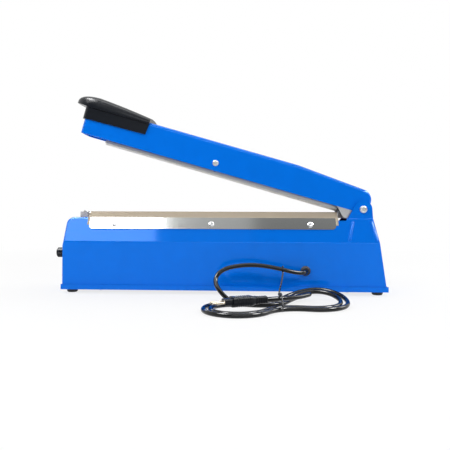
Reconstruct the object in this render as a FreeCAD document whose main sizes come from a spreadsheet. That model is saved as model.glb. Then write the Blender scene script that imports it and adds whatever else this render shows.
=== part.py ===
"""Impulse heat sealer: a sheet-steel base with a heated bed and a sprung arm that presses on it.

Millimetres, +Z up, +X from the handle to the hinge, the origin on the floor under the middle of
the base. The arm and what it carries are drawn closed, about the hinge pin, and then turned open.
"""
import FreeCAD, Part
import Sketcher
import math
import os
import re

V = FreeCAD.Vector
ALONG_X, ALONG_Y, ALONG_Z = V(1, 0, 0), V(0, 1, 0), V(0, 0, 1)
PAST = 5.0          # how far a cutter runs past the faces that it opens

SIZES = [
    # base and its tray
    ("base_length", 410.0, "length of the housing at its foot"),
    ("base_width", 80.0, "width between the upright walls"),
    ("fold_height", 66.0, "height of the fold where the shoulders begin"),
    ("top_height", 97.0, "height of the flat top"),
    ("top_width", 46.0, "width of the flat top"),
    ("end_lean", 14.0, "how far the hinge end leans in at the top"),
    ("left_lean", 0.8, "how far the knob end leans in at the top"),
    ("left_round", 9.0, "radius of the top corner at the knob end"),
    ("housing_sheet", 1.2, "sheet of the housing"),
    ("fold_round", 3.0, "outside radius of the folds"),
    ("tray_sheet", 1.2, "sheet of the tray"),
    ("tray_rim", 6.5, "height of the tray's rim above its underside"),
    ("tray_gap", 0.3, "room between the housing and the tray's rim"),
    ("foot_height", 5.0, "height of the rubber feet"),
    ("foot_across", 15.0, "diameter of a foot at the tray"),
    ("foot_inset_x", 9.0, "feet in from the ends"),
    ("foot_inset_y", 13.0, "feet in from the sides"),
    ("foot_screw", 4.0, "diameter of the foot screws"),
    ("foot_nut", 7.0, "width across the flats of the foot nuts"),
    ("bracket_inset", 48.0, "tray brackets in from the ends"),
    ("bracket_size", 13.0, "leg and length of a tray bracket"),
    ("bracket_sheet", 1.5, "sheet of a tray bracket"),
    ("tray_screw", 3.0, "diameter of the tray screws"),
    ("hole_room", 0.15, "room round a screw in its hole, on the radius"),
    # stiffening ribs on the shoulders
    ("rib_width", 4.5, "width of a rib"),
    ("rib_rise", 1.3, "height of a rib over the shoulder"),
    ("rib_top", 6.4, "upper end of a rib below the top, along the shoulder"),
    ("rib_length", 29.0, "length of a rib, along the shoulder"),
    ("rib_front", 25.0, "upper end of the bag-side rib ahead of the pin"),
    ("rib_front_lean", 13.0, "how far that rib leans over its length"),
    ("rib_back", 8.6, "upper end of the end-side rib behind the pin"),
    ("rib_back_lean", 5.2, "how far that rib leans over its length"),
    # hinge
    ("pin_inset", 26.3, "hinge pin in from the hinge end of the base"),
    ("pin_rise", 11.2, "hinge pin above the flat top"),
    ("ear_round", 11.5, "radius of the ears about the pin"),
    ("ear_spread", 20.0, "foot of the ears ahead of the pin"),
    ("ear_back", 12.5, "foot of the ears behind the pin"),
    ("axle_across", 6.0, "diameter of the axle"),
    ("axle_room", 0.06, "running room round the axle, on the radius"),
    ("hinge_screw", 4.0, "diameter of the hinge screws"),
    ("hinge_screw_grip", 10.0, "length of a hinge screw in the axle"),
    ("hinge_head", 9.6, "diameter of a hinge screw's head"),
    ("hinge_head_height", 2.6, "height of a hinge screw's head"),
    ("washer_across", 12.0, "diameter of the hinge washers"),
    ("washer_gap", 0.3, "room beside a hinge washer"),
    ("open_angle", 16.0, "angle of the open arm"),
    ("spring_wire", 2.0, "diameter of the return spring's wire"),
    ("spring_room", 1.2, "room between the return spring and the axle"),
    ("spring_step", 2.7, "step from a coil of the return spring to the next"),
    ("spring_turns", 3, "coils of the return spring"),
    ("spring_foot", 9.0, "leg of the return spring towards the bed"),
    ("spring_leg", 12.0, "leg of the return spring up into the arm"),
    # seal bed
    ("bed_inset_left", 27.3, "seal bed in from the knob end of the base"),
    ("bed_inset_right", 30.4, "seal bed ahead of the pin"),
    ("bed_width", 26.0, "width of the seal bed"),
    ("bed_height", 7.0, "height of the seal bed"),
    ("bed_round", 1.5, "radius of the bed's upper edges"),
    ("bed_screw", 4.0, "diameter of the bed screws"),
    ("bed_screw_grip", 5.0, "length of a bed screw in the bed"),
    ("tape", 0.3, "thickness of the insulating tape"),
    ("tape_width", 14.0, "width of the insulating tape"),
    ("element", 0.2, "thickness of the heating ribbon"),
    ("element_width", 3.0, "width of the heating ribbon"),
    ("cloth", 0.3, "thickness of the non-stick cloth"),
    ("cloth_inset", 1.5, "cloth in from each end of the bed"),
    ("cloth_hem", 11.0, "cloth below the top edge, along the shoulder"),
    # clamp plates
    ("plate_inset", 5.0, "clamp plate in from each end of the bed"),
    ("plate_width", 16.4, "width of a clamp plate"),
    ("plate_thick", 1.0, "thickness of a clamp plate"),
    ("plate_drop", 0.8, "clamp plate below the top edge, along the shoulder"),
    ("plate_round", 5.0, "radius of a clamp plate's lower corners"),
    ("plate_screw", 3.5, "diameter of the clamp screws"),
    ("plate_screw_end", 32.4, "outer clamp screws in from the ends of the plate"),
    ("plate_screw_row", 9.7, "clamp screws below the plate's upper edge"),
    ("plate_screw_head", 7.0, "diameter of a clamp screw's head"),
    ("plate_screw_length", 8.0, "length of a clamp screw under its head"),
    # terminals
    ("terminal_length", 10.0, "length of a terminal block"),
    ("terminal_width", 16.0, "width of a terminal block"),
    ("terminal_gap", 4.0, "knob-end terminal block away from the bed"),
    ("terminal_screw", 3.0, "diameter of a terminal screw"),
    ("terminal_head", 6.0, "diameter of a terminal screw's head"),
    ("terminal_head_height", 2.0, "height of a terminal screw's head"),
    # arm
    ("arm_short", 3.2, "closed arm in from the knob end of the base"),
    ("arm_width", 41.0, "width of the arm"),
    ("arm_height", 37.2, "height of the arm"),
    ("arm_drop", 5.0, "lower edge of the arm below the pin"),
    ("arm_sheet", 1.2, "sheet of the arm"),
    ("arm_round", 4.0, "outside radius of the arm's long folds"),
    ("arm_end_round", 6.0, "radius of the arm's corners at the handle end"),
    ("arm_tail", 8.2, "arm behind the pin"),
    ("arm_tail_round", 14.0, "radius of the arm's top corner behind the pin"),
    ("arm_taper", 95.0, "length of the arm's taper ahead of the pin"),
    ("arm_taper_drop", 8.0, "how far the top falls over the taper"),
    # handle
    ("handle_length", 86.0, "length of the handle on the arm"),
    ("handle_wall", 2.2, "wall of the handle's skirt"),
    ("handle_gap", 0.2, "room between the handle and the arm"),
    ("handle_tip", 17.0, "lip of the handle past its skirt"),
    ("handle_side", 1.8, "crown of the handle past its skirt at each side"),
    ("handle_lip", 2.6, "lip of the handle below the top of the arm"),
    ("handle_edge", 1.6, "upright edge of the lip"),
    ("handle_skirt", 16.0, "skirt of the handle below the lip"),
    ("handle_crown", 16.4, "dome of the handle above its lip at its front"),
    ("handle_back", 8.2, "dome of the handle above its lip at its back"),
    ("handle_nose", 32.0, "length of the dome's rounded nose"),
    ("handle_rise", 3.0, "rise of the lip at the tip of the nose"),
    ("handle_screw", 3.0, "diameter of the handle screws"),
    ("handle_screw_grip", 2.0, "length of a handle screw in the handle"),
    # press bar
    ("strip_over", 0.4, "press bar past the bed at the hinge"),
    ("strip_short", 8.0, "press bar shorter than the bed"),
    ("strip_reach", 5.4, "silicone below the arm's lower edge, open"),
    ("strip_show", 2.0, "silicone below its bar"),
    ("strip_seat", 1.6, "depth of the silicone's groove"),
    ("strip_width", 10.0, "width of the silicone strip"),
    ("bar_width", 17.0, "width of the press bar"),
    ("bar_flange", 3.2, "thickness of the press bar's flange"),
    ("bar_web", 3.0, "thickness of the press bar's web"),
    ("bar_height", 26.0, "height of the press bar"),
    ("press_gap", 0.35, "room left between silicone and cloth, closed"),
    ("cross_along", 198.0, "cross screw ahead of the pin"),
    ("cross_seat", 0.7, "room between the cross screw and the bar's flange, closed"),
    ("cross_across", 4.0, "diameter of the cross screw"),
    ("cross_head", 8.0, "diameter of the cross screw's head"),
    ("cross_head_height", 2.4, "height of the cross screw's head"),
    ("cross_room", 0.35, "room round the cross screw in its slot, on the radius"),
    ("leaf_thick", 0.8, "thickness of the pressure leaf"),
    ("leaf_width", 10.0, "width of the pressure leaf"),
    ("leaf_span", 96.0, "length of the pressure leaf"),
    ("leaf_gap", 0.4, "room between the pressure leaf and the arm"),
    # switch
    ("push_sheet", 1.5, "sheet of the push bracket"),
    ("push_front", 34.0, "push bracket ahead of the pin"),
    ("push_foot", 16.5, "foot of the push bracket below the pin, closed"),
    ("push_at", 9.0, "switch button ahead of the pin"),
    ("button_across", 3.2, "diameter of the switch button"),
    ("button_travel", 1.5, "travel of the switch button"),
    ("button_show", 3.2, "switch button above the switch"),
    ("button_depth", 4.0, "depth of the button's bore"),
    ("button_room", 0.1, "room round the button, on the radius"),
    ("button_gap", 0.4, "room between the button and the foot, closed"),
    ("switch_length", 20.0, "length of the switch"),
    ("switch_width", 6.5, "width of the switch"),
    ("switch_height", 10.5, "height of the switch"),
    ("switch_screw", 2.4, "diameter of the switch screws"),
    ("switch_pitch", 9.5, "spacing of the switch screws"),
    ("hanger_start", 40.0, "switch hanger under the bed's end"),
    ("hanger_end", 6.0, "flange of the hanger short of the bed's end"),
    ("hanger_flange", 12.0, "width of the hanger's flange"),
    ("hanger_drop", 2.0, "arm of the hanger below the top of the switch"),
    ("rivet_across", 3.0, "diameter of the bracket's rivets"),
    ("rivet_head", 6.0, "diameter of a rivet's head"),
    ("rivet_head_height", 1.0, "height of a rivet's head"),
    ("rivet_edge", 5.0, "rivets in from the push bracket's edges"),
    ("push_back", 13.0, "back edge of the push bracket's cheeks ahead of the pin"),
    ("push_rise", 10.0, "push bracket above the pin"),
    ("push_half", 5.0, "half length of the push bracket's foot"),
    ("slot_room", 1.2, "room beside the push bracket in the housing's slot"),
    # timer
    ("knob_across", 13.0, "diameter of the knob"),
    ("knob_reach", 16.0, "knob past the end of the base"),
    ("knob_gap", 0.5, "room between the knob and the base"),
    ("knob_y", -12.0, "knob to the near side of the middle"),
    ("knob_z", 50.0, "height of the knob"),
    ("knob_bore_depth", 11.0, "depth of the shaft's bore in the knob"),
    ("knob_recess", 11.0, "diameter of the hollow under the knob"),
    ("knob_recess_depth", 2.4, "depth of the hollow under the knob"),
    ("flute_count", 12, "flutes round the knob"),
    ("flute_across", 1.6, "diameter of a flute"),
    ("shaft_across", 4.0, "diameter of the potentiometer's shaft"),
    ("bush_across", 7.0, "diameter of the potentiometer's bush"),
    ("bush_reach", 2.0, "bush past the housing"),
    ("pot_across", 17.0, "diameter of the potentiometer"),
    ("pot_length", 9.0, "length of the potentiometer"),
    ("pot_nut", 10.0, "width across the flats of the potentiometer's nut"),
    ("pot_nut_height", 1.6, "height of the potentiometer's nut"),
    ("lamp_across", 5.0, "diameter of the indicator lamp"),
    ("lamp_rise", 17.0, "lamp above the knob"),
    ("lamp_reach", 0.9, "lamp past the end of the base"),
    ("board_length", 62.0, "length of the timer board"),
    ("board_width", 46.0, "width of the timer board"),
    ("board_thick", 1.6, "thickness of the timer board"),
    ("board_lift", 8.0, "timer board above the tray"),
    ("board_inset", 24.0, "timer board in from the knob end"),
    ("board_hole", 3.2, "diameter of the board's fixing holes"),
    ("board_edge", 4.5, "fixing holes in from the board's edges"),
    ("relay_length", 19.0, "length of the relay on the board"),
    ("relay_width", 15.0, "width of the relay"),
    ("relay_height", 16.0, "height of the relay"),
    ("can_across", 12.0, "diameter of the large capacitor"),
    ("can_height", 20.0, "height of the large capacitor"),
    ("triac_width", 10.5, "width of the power switch on the board"),
    ("triac_thick", 4.5, "thickness of the power switch"),
    ("triac_height", 19.0, "height of the power switch"),
    # transformer
    ("core_length", 84.0, "length of the transformer's core"),
    ("core_height", 56.0, "height of the transformer's core"),
    ("core_depth", 34.0, "stack of the transformer's core"),
    ("core_limb", 14.0, "width of the core's outer limbs"),
    ("coil_depth", 54.0, "coil across the core"),
    ("coil_gap", 0.5, "room between coil and core"),
    ("core_x", 28.0, "middle of the transformer from the middle of the base"),
    ("frame_sheet", 1.5, "sheet of the transformer's frame"),
    ("frame_foot", 13.0, "feet of the transformer's frame"),
    ("frame_width", 22.0, "width of the transformer's frame"),
    ("frame_screw", 4.0, "diameter of the transformer's screws"),
    # cord
    ("cord_across", 5.2, "diameter of the mains cord"),
    ("grommet_x", 104.0, "cord's grommet from the middle of the base"),
    ("grommet_z", 31.0, "height of the cord's grommet"),
    ("grommet_flange", 12.0, "diameter of the grommet"),
    ("grommet_neck", 9.0, "diameter of the grommet in the wall"),
    ("grommet_reach", 7.0, "grommet past the wall"),
    ("hank_x", 69.0, "middle of the hank along the base"),
    ("hank_y", -130.0, "middle of the hank in front of the base"),
    ("hank_turn", 25.0, "turn of the hank on the floor"),
    ("hank_reach", 88.0, "half length of the hank's outer loop"),
    ("hank_half", 42.0, "half width of the hank's outer loop"),
    ("hank_waist", 25.0, "half width of the hank's outer loop at the tie"),
    ("hank_step", 7.6, "step from a loop to the next one inside it"),
    ("hank_waist_step", 8.2, "the same step at the tie"),
    ("plug_length", 40.0, "length of the plug"),
    ("plug_width", 14.0, "width of the plug"),
    ("plug_height", 11.0, "height of the plug"),
    ("plug_nose", 9.0, "length of the plug's nose"),
    ("plug_pin", 2.6, "diameter of the plug's pins"),
    ("plug_pin_length", 13.0, "length of the plug's pins"),
    ("plug_pin_pitch", 7.4, "spacing of the plug's pins"),
    ("tie_across", 1.2, "diameter of the wire tie"),
]

PLACES = [
    ("base_x", "(knob_reach - tray_gap - tray_sheet) / 2"),
    ("left_end", "base_x - base_length / 2"),
    ("right_end", "base_x + base_length / 2"),
    ("floor_top", "foot_height + tray_sheet"),
    ("half_base", "base_width / 2"),
    ("half_top", "top_width / 2"),
    ("slope", "atan((half_base - half_top) / (top_height - fold_height))"),
    ("pin_x", "right_end - pin_inset"),
    ("pin_z", "top_height + pin_rise"),
    ("ear_inside", "half_top - housing_sheet"),
    ("bed_left", "left_end + bed_inset_left"),
    ("bed_right", "pin_x - bed_inset_right"),
    ("bed_length", "bed_right - bed_left"),
    ("bed_x", "(bed_left + bed_right) / 2"),
    ("cloth_length", "bed_length - 2 * cloth_inset"),
    ("plate_length", "bed_length - 2 * plate_inset"),
    ("plate_screw_pitch", "plate_length / 2 - plate_screw_end"),
    ("bed_top", "top_height + bed_height"),
    ("tape_top", "bed_top + tape"),
    ("element_top", "tape_top + element"),
    ("cloth_top", "element_top + cloth"),
    ("arm_length", "pin_x - left_end - arm_short"),
    ("arm_half", "arm_width / 2"),
    ("arm_inside", "arm_half - arm_sheet"),
    ("arm_top", "arm_height - arm_drop"),
    ("strip_near", "bed_inset_right - strip_over"),
    ("strip_length", "bed_length - strip_short"),
    ("strip_low", "-(arm_drop + strip_reach)"),
    ("bar_low", "strip_low + strip_show"),
    ("press_travel", "cloth_top + press_gap - pin_z - strip_low"),
    ("cross_rise", "bar_low + bar_flange + press_travel + cross_across / 2 + cross_seat"),
    ("button_rest", "pin_z - push_foot - button_gap + button_travel"),
    ("switch_top", "button_rest - button_show"),
    ("switch_x", "pin_x - push_at"),
    ("knob_wall", "left_end + left_lean * (knob_z - floor_top) / (top_height - floor_top)"),
    ("lamp_z", "knob_z + lamp_rise"),
    ("lamp_wall", "left_end + left_lean * (lamp_z - floor_top) / (top_height - floor_top)"),
    ("core_mid", "base_x + core_x"),
    ("board_left", "left_end + board_inset"),
    ("board_low", "floor_top + board_lift"),
    ("grommet_mid", "base_x + grommet_x"),
]

doc = FreeCAD.newDocument("impulse_heat_sealer")
sizes = doc.addObject("Spreadsheet::Sheet", "Sizes")
places = doc.addObject("Spreadsheet::Sheet", "Places")
NAMES = {alias: "Sizes." + alias for alias, _, _ in SIZES}
NAMES.update({alias: "Places." + alias for alias, _ in PLACES})


def expression(words):
    """A formula in the sheets' names, with each name led by its sheet."""
    return re.sub(r"[a-z_][a-z_0-9]*", lambda found: NAMES.get(found.group(0), found.group(0)), words)


def size(words):
    """The value of a formula in the sheets' names."""
    return float(sizes.evalExpression(expression(words)))


for row, (alias, value, note) in enumerate(SIZES, 1):
    sizes.set("A%d" % row, note)
    sizes.set("B%d" % row, str(value))
    sizes.setAlias("B%d" % row, alias)
for row, (alias, formula) in enumerate(PLACES, 1):
    places.set("B%d" % row, "=" + expression(formula))
    places.setAlias("B%d" % row, alias)
doc.recompute()

pieces = []


def piece(thing, label):
    """Keep a finished object as a sub-part under its own name."""
    thing.Label = label
    pieces.append(thing)
    return thing


def bind(thing, **formulas):
    """Bind properties to formulas in the sheets' names; an underscore pair stands for a dot."""
    for name, words in formulas.items():
        thing.setExpression(name.replace("__", "."), expression(words))
    return thing


def move(thing, x="0", y="0", z="0"):
    """Put an object's origin at a place."""
    return bind(thing, Placement__Base__x=x, Placement__Base__y=y, Placement__Base__z=z)


def hang(thing):
    """Put something drawn about the hinge pin, closed, where the open arm holds it."""
    thing.Placement = FreeCAD.Placement(V(), FreeCAD.Rotation(ALONG_Y, size("open_angle")))
    move(thing, "pin_x", "0", "pin_z")
    return bind(thing, Placement__Rotation__Angle="open_angle * 1 deg")


def lean(thing, x="0"):
    """Put something drawn flat on the near shoulder: y up the slope from its top edge, z outwards."""
    thing.Placement = FreeCAD.Placement(V(), FreeCAD.Rotation(ALONG_X, 45))
    move(thing, x, "-half_top", "top_height")
    return bind(thing, Placement__Rotation__Angle="90 deg - slope")


def body(name):
    """An empty body whose origin planes can carry sketches."""
    made = doc.addObject("PartDesign::Body", name)
    doc.recompute()
    return made


def outline(form, plane, *loops, holes=(), start=None):
    """A sketch of closed polygons and round holes, each point held from the origin by formulas."""
    sketch = form.newObject("Sketcher::SketchObject", form.Name + "_outline")
    support = [face for face in form.Origin.OriginFeatures if face.Role == plane][0]
    sketch.AttachmentSupport = [(support, "")]
    sketch.MapMode = "FlatFace"
    if start is not None:
        bind(sketch, AttachmentOffset__Base__z=start)

    def hold(kind, where, formula):
        index = sketch.addConstraint(Sketcher.Constraint(kind, *where, size(formula)))
        sketch.setExpression("Constraints[%d]" % index, expression(formula))

    for loop in loops:
        corners = [V(size(x), size(y), 0) for x, y in loop]
        after = corners[1:] + corners[:1]
        first = sketch.GeometryCount
        for begin, end in zip(corners, after):
            sketch.addGeometry(Part.LineSegment(begin, end), False)
        for k, (x, y) in enumerate(loop):
            following = first + (k + 1) % len(loop)
            sketch.addConstraint(Sketcher.Constraint("Coincident", first + k, 2, following, 1))
            hold("DistanceX", (-1, 1, first + k, 1), x)
            hold("DistanceY", (-1, 1, first + k, 1), y)
    for x, y, across in holes:
        circle = Part.Circle(V(size(x), size(y), 0), ALONG_Z, size(across) / 2)
        index = sketch.addGeometry(circle, False)
        hold("DistanceX", (-1, 1, index, 3), x)
        hold("DistanceY", (-1, 1, index, 3), y)
        hold("Diameter", (index,), across)
    return sketch


def pad(form, sketch, length, both=True):
    """Extrude a sketch, to both sides of its plane or along its normal."""
    made = form.newObject("PartDesign::Pad", form.Name + "_pad")
    made.Profile = sketch
    made.SideType = "Symmetric" if both else "One side"
    return bind(made, Length=length)


def pocket(form, sketch):
    """Cut a sketch right through, to both sides of its plane."""
    made = form.newObject("PartDesign::Pocket", form.Name + "_pocket")
    made.Profile = sketch
    made.Type = "ThroughAll"
    made.SideType = "Symmetric"
    return made


def rounded(form, radius, pick):
    """Fillet the edges of a body that a test picks."""
    doc.recompute()
    names = ["Edge%d" % k for k, edge in enumerate(form.Shape.Edges, 1) if pick(edge)]
    if not names:
        raise RuntimeError("no edge to round on " + form.Name)
    tip = form.Tip
    made = form.newObject("PartDesign::Fillet", form.Name + "_round")
    made.Base = (tip, names)
    return bind(made, Radius=radius)


def runs(edge, axis):
    """Whether an edge is straight and lies along an axis."""
    if not isinstance(edge.Curve, (Part.Line, Part.LineSegment)):
        return False
    return abs(edge.tangentAt(edge.FirstParameter).dot(axis)) > 0.9999


def near(value, formula, room=0.01):
    """Whether a measured value is that of a formula."""
    return abs(value - size(formula)) < room


def turned(name, loop, plane="XZ_Plane"):
    """A body turned about the upright axis of its sketch, from points of radius and height."""
    form = body(name)
    sketch = outline(form, plane, loop)
    made = form.newObject("PartDesign::Revolution", name + "_turn")
    made.Profile = sketch
    made.ReferenceAxis = (sketch, ["V_Axis"])
    return form


def box(name, x, y, z):
    """A block between two planes on each axis."""
    block = doc.addObject("Part::Box", name)
    for axis, side, (low, high) in zip("xyz", ("Length", "Width", "Height"), (x, y, z)):
        bind(block, **{"Placement__Base__" + axis: low, side: "(%s) - (%s)" % (high, low)})
    return block


AIMS = {
    "x": FreeCAD.Rotation(ALONG_Y, 90),
    "y": FreeCAD.Rotation(ALONG_X, -90),
    "z": FreeCAD.Rotation(),
}


def rod(name, axis, place, across, ends):
    """A round bar along an axis, at a place on the other two, between two ends."""
    bar = doc.addObject("Part::Cylinder", name)
    bar.Placement = FreeCAD.Placement(V(), AIMS[axis])
    others = [other for other in "xyz" if other != axis]
    for other, formula in zip(others + [axis], list(place) + [ends[0]]):
        bind(bar, **{"Placement__Base__" + other: formula})
    return bind(bar, Radius="(%s) / 2" % across, Height="(%s) - (%s)" % (ends[1], ends[0]))


def hexagon(name, axis, place, flats, ends):
    """A six-sided bar along an axis, given by the width across its flats."""
    bar = doc.addObject("Part::Prism", name)
    bar.Polygon = 6
    bar.Placement = FreeCAD.Placement(V(), AIMS[axis])
    others = [other for other in "xyz" if other != axis]
    for other, formula in zip(others + [axis], list(place) + [ends[0]]):
        bind(bar, **{"Placement__Base__" + other: formula})
    return bind(bar, Circumradius="(%s) / sqrt(3)" % flats, Height="(%s) - (%s)" % (ends[1], ends[0]))


def joined(name, kind, parts):
    """Several objects fused into one, or kept as a group of separate solids."""
    made = doc.addObject(kind, name)
    if kind == "Part::Compound":
        made.Links = parts
    else:
        made.Shapes = parts
    return made


def group(name, *parts):
    """Separate solids under one name."""
    return joined(name, "Part::Compound", list(parts))


def fuse(name, *parts):
    """Solids made into one."""
    return joined(name, "Part::MultiFuse", list(parts))


def cut(name, base, *tools):
    """A solid less others."""
    made = doc.addObject("Part::Cut", name)
    made.Base = base
    made.Tool = tools[0] if len(tools) == 1 else fuse(name + "_tools", *tools)
    return made


def mirrored(name, source):
    """The same thing on the far side."""
    made = doc.addObject("Part::Mirroring", name)
    made.Source = source
    made.Normal = ALONG_Y
    return made


def solid(name, shape):
    """A shape worked out here, kept in the document."""
    made = doc.addObject("Part::Feature", name)
    made.Shape = shape
    return made


def pan_head(name, across, height, shank, length):
    """A pan-head screw standing on its head's underside, its shank pointing down."""
    return turned(name, [
        ("0", "-(%s)" % length), ("%s / 2" % shank, "-(%s)" % length), ("%s / 2" % shank, "0"),
        ("%s / 2" % across, "0"), ("%s / 2" % across, "%s * 0.45" % height),
        ("%s * 0.32" % across, "%s" % height), ("0", "%s" % height)])


def corners(x, y):
    """The four places at plus and minus a pair of distances from the middle of the base."""
    return [("base_x + %s" % a, b) for a in (x, "-(%s)" % x) for b in (y, "-(%s)" % y)]


# Base housing: one folded sheet with upright walls, leaning shoulders, a flat top and two ears.

def housing_form(name, inset, low):
    """The housing's outside moved in by an inset: its side outline, less both shoulders."""
    form = body(name)
    pad(form, outline(form, "XZ_Plane", [
        ("left_end + %s" % inset, low),
        ("left_end + left_lean + %s" % inset, "top_height - %s" % inset),
        ("right_end - end_lean - %s" % inset, "top_height - %s" % inset),
        ("right_end - %s" % inset, low)]), "base_width - 2 * %s" % inset)
    rounded(form, "left_round - %s" % inset, lambda edge: runs(edge, ALONG_Y)
            and edge.CenterOfMass.z > size("fold_height") and edge.CenterOfMass.x < 0)
    fold_z = "fold_height - %s * (1 - cos(slope)) / sin(slope)" % inset
    top_y = "half_top - %s * (1 - sin(slope)) / cos(slope)" % inset
    wall = "half_base - %s" % inset
    top_z = "top_height - %s" % inset
    sides = []
    for sign in ("", "-"):
        sides.append([
            ("%s(%s)" % (sign, wall), fold_z),
            ("%s(%s)" % (sign, top_y), top_z),
            ("%s(%s)" % (sign, top_y), "%s + %g" % (top_z, PAST)),
            ("%s(%s + %g)" % (sign, wall, PAST), "%s + %g" % (top_z, PAST)),
            ("%s(%s + %g)" % (sign, wall, PAST), fold_z)])
    pocket(form, outline(form, "YZ_Plane", *sides))
    rounded(form, "fold_round - %s" % inset, lambda edge: runs(edge, ALONG_X)
            and abs(edge.CenterOfMass.y) > size("half_top") - 2 * size("fold_round")
            and edge.CenterOfMass.z > size("fold_height") / 2)
    return form


def rib(name, top, leaning):
    """A pressed rib on the near shoulder: a round-ended bar along the slope."""
    begin = V(size(top), -size("rib_top"), -size("housing_sheet") / 2)
    end = begin + V(size(leaning), -size("rib_length") + size("rib_width"), 0)
    along = (end - begin).normalize()
    side = V(-along.y, along.x, 0) * (size("rib_width") / 2)
    loop = [Part.LineSegment(begin - side, end - side),
            Part.Arc(end - side, end + along * (size("rib_width") / 2), end + side),
            Part.LineSegment(end + side, begin + side),
            Part.Arc(begin + side, begin - along * (size("rib_width") / 2), begin - side)]
    wire = Part.Wire([edge.toShape() for edge in loop])
    bar = Part.Face(wire).extrude(V(0, 0, size("rib_rise + housing_sheet / 2")))
    upper = [edge for edge in bar.Edges if near(edge.CenterOfMass.z, "rib_rise")]
    return lean(solid(name, bar.makeFillet(size("rib_rise") * 0.6, upper)), "pin_x")


ear = body("ear")
pad(ear, outline(ear, "XZ_Plane", [
    ("pin_x - ear_spread", "top_height - housing_sheet"),
    ("pin_x - ear_round * cos(30 deg)", "pin_z + ear_round * sin(30 deg)"),
    ("pin_x + ear_round * cos(10 deg)", "pin_z + ear_round * sin(10 deg)"),
    ("pin_x + ear_back", "top_height - housing_sheet")], start="ear_inside"),
    "housing_sheet", both=False)
ear_top = rod("ear_top", "y", ("pin_x", "pin_z"), "2 * ear_round", ("-half_top", "-ear_inside"))
near_ear = fuse("near_ear", ear, ear_top)
near_ribs = [rib("front_rib", "-rib_front", "-rib_front_lean"),
             rib("back_rib", "rib_back", "rib_back_lean")]
near_ribs = group("near_ribs", *near_ribs)
shell = cut("shell", housing_form("shell_outside", "0", "floor_top"),
            housing_form("shell_inside", "housing_sheet", "floor_top - %g" % PAST))
formed = fuse("formed", shell, near_ear, mirrored("far_ear", near_ear),
              near_ribs, mirrored("far_ribs", near_ribs))

jaw_cut = body("jaw_cut")
pad(jaw_cut, outline(jaw_cut, "XZ_Plane", [
    ("bed_right - 2", "top_height - 3.5"),
    ("pin_x - ear_spread - 2", "top_height - 3.5"),
    ("pin_x - ear_spread", "top_height + 0.01"),
    ("bed_right - 2", "top_height + 0.01")]), "top_width + 4 * housing_sheet")
push_slot = box("push_slot", ("bed_right - 2", "pin_x + 1"),
                ("-arm_inside - slot_room", "arm_inside + slot_room"),
                ("top_height - %g" % PAST, "top_height + %g" % PAST))
openings = [
    jaw_cut, push_slot,
    rod("pin_hole", "y", ("pin_x", "pin_z"), "hinge_screw + 2 * hole_room",
        ("-half_top - %g" % PAST, "half_top + %g" % PAST)),
    rod("grommet_hole", "y", ("grommet_mid", "grommet_z"), "grommet_neck",
        ("-half_base - %g" % PAST, "-half_base + %g" % PAST)),
    rod("knob_hole", "x", ("knob_y", "knob_z"), "bush_across",
        ("left_end - %g" % PAST, "left_end + %g" % PAST)),
    rod("lamp_hole", "x", ("knob_y", "lamp_z"), "lamp_across",
        ("left_end - %g" % PAST, "left_end + %g" % PAST)),
]
clamp_places = ["bed_x - plate_screw_pitch", "bed_x", "bed_x + plate_screw_pitch"]
clamp_holes = []
for at, x in enumerate(clamp_places):
    hole = doc.addObject("Part::Cylinder", "clamp_hole_%d" % at)
    bind(hole, Radius="plate_screw / 2 + hole_room", Height="%g" % (2 * PAST))
    lean(hole, x)
    bind(hole, Placement__Base__y="-half_top - (plate_drop + plate_screw_row) * sin(slope)"
         " + %g * cos(slope)" % PAST,
         Placement__Base__z="top_height - (plate_drop + plate_screw_row) * cos(slope)"
         " - %g * sin(slope)" % PAST)
    clamp_holes += [hole, mirrored("far_clamp_hole_%d" % at, hole)]
bed_places = ["bed_x - bed_length / 3", "bed_x + bed_length / 3"]
for at, x in enumerate(bed_places):
    openings.append(rod("bed_hole_%d" % at, "z", (x, "0"), "bed_screw + 2 * hole_room",
                        ("top_height - %g" % PAST, "top_height + %g" % PAST)))
lead_hole = rod("lead_hole", "z", ("bed_left - terminal_gap - terminal_length / 2", "terminal_width / 4"),
                "terminal_screw", ("top_height - %g" % PAST, "top_height + %g" % PAST))
piece(cut("housing", formed, *openings, *clamp_holes, lead_hole), "base_housing")

# Tray: the folded bottom with a low rim outside the housing, on four screwed rubber feet.

rim_x = "base_length / 2 + tray_gap + tray_sheet"
rim_y = "half_base + tray_gap + tray_sheet"
tray_block = box("tray_block", ("base_x - (%s)" % rim_x, "base_x + %s" % rim_x),
                 ("-(%s)" % rim_y, rim_y), ("foot_height", "foot_height + tray_rim"))
tray_hollow = box("tray_hollow", ("left_end - tray_gap", "right_end + tray_gap"),
                  ("-half_base - tray_gap", "half_base + tray_gap"),
                  ("floor_top", "foot_height + tray_rim + %g" % PAST))
foot_places = corners("(base_length / 2 - foot_inset_x)", "half_base - foot_inset_y")
bracket_y = "half_base - housing_sheet - bracket_size / 2"
bracket_places = corners("(base_length / 2 - bracket_inset)", bracket_y)
frame_places = [("core_mid + %s(core_length / 2 + frame_sheet + frame_foot / 2)" % sign, "0")
                for sign in ("-", "")]
board_x = ["board_left + board_edge", "board_left + board_length - board_edge"]
board_y = ["board_edge - board_width / 2", "board_width / 2 - board_edge"]
board_places = [(x, y) for x in board_x for y in board_y]
through_tray = ("foot_height - %g" % PAST, "floor_top + %g" % PAST)
tray_holes = []
for label, spots, across in (("foot", foot_places, "foot_screw"), ("tray", bracket_places, "tray_screw"),
                             ("frame", frame_places, "frame_screw")):
    for at, spot in enumerate(spots):
        tray_holes.append(rod("%s_hole_%d" % (label, at), "z", spot, across + " + 2 * hole_room",
                              through_tray))
piece(cut("tray", tray_block, tray_hollow, *tray_holes), "base_tray")

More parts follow.
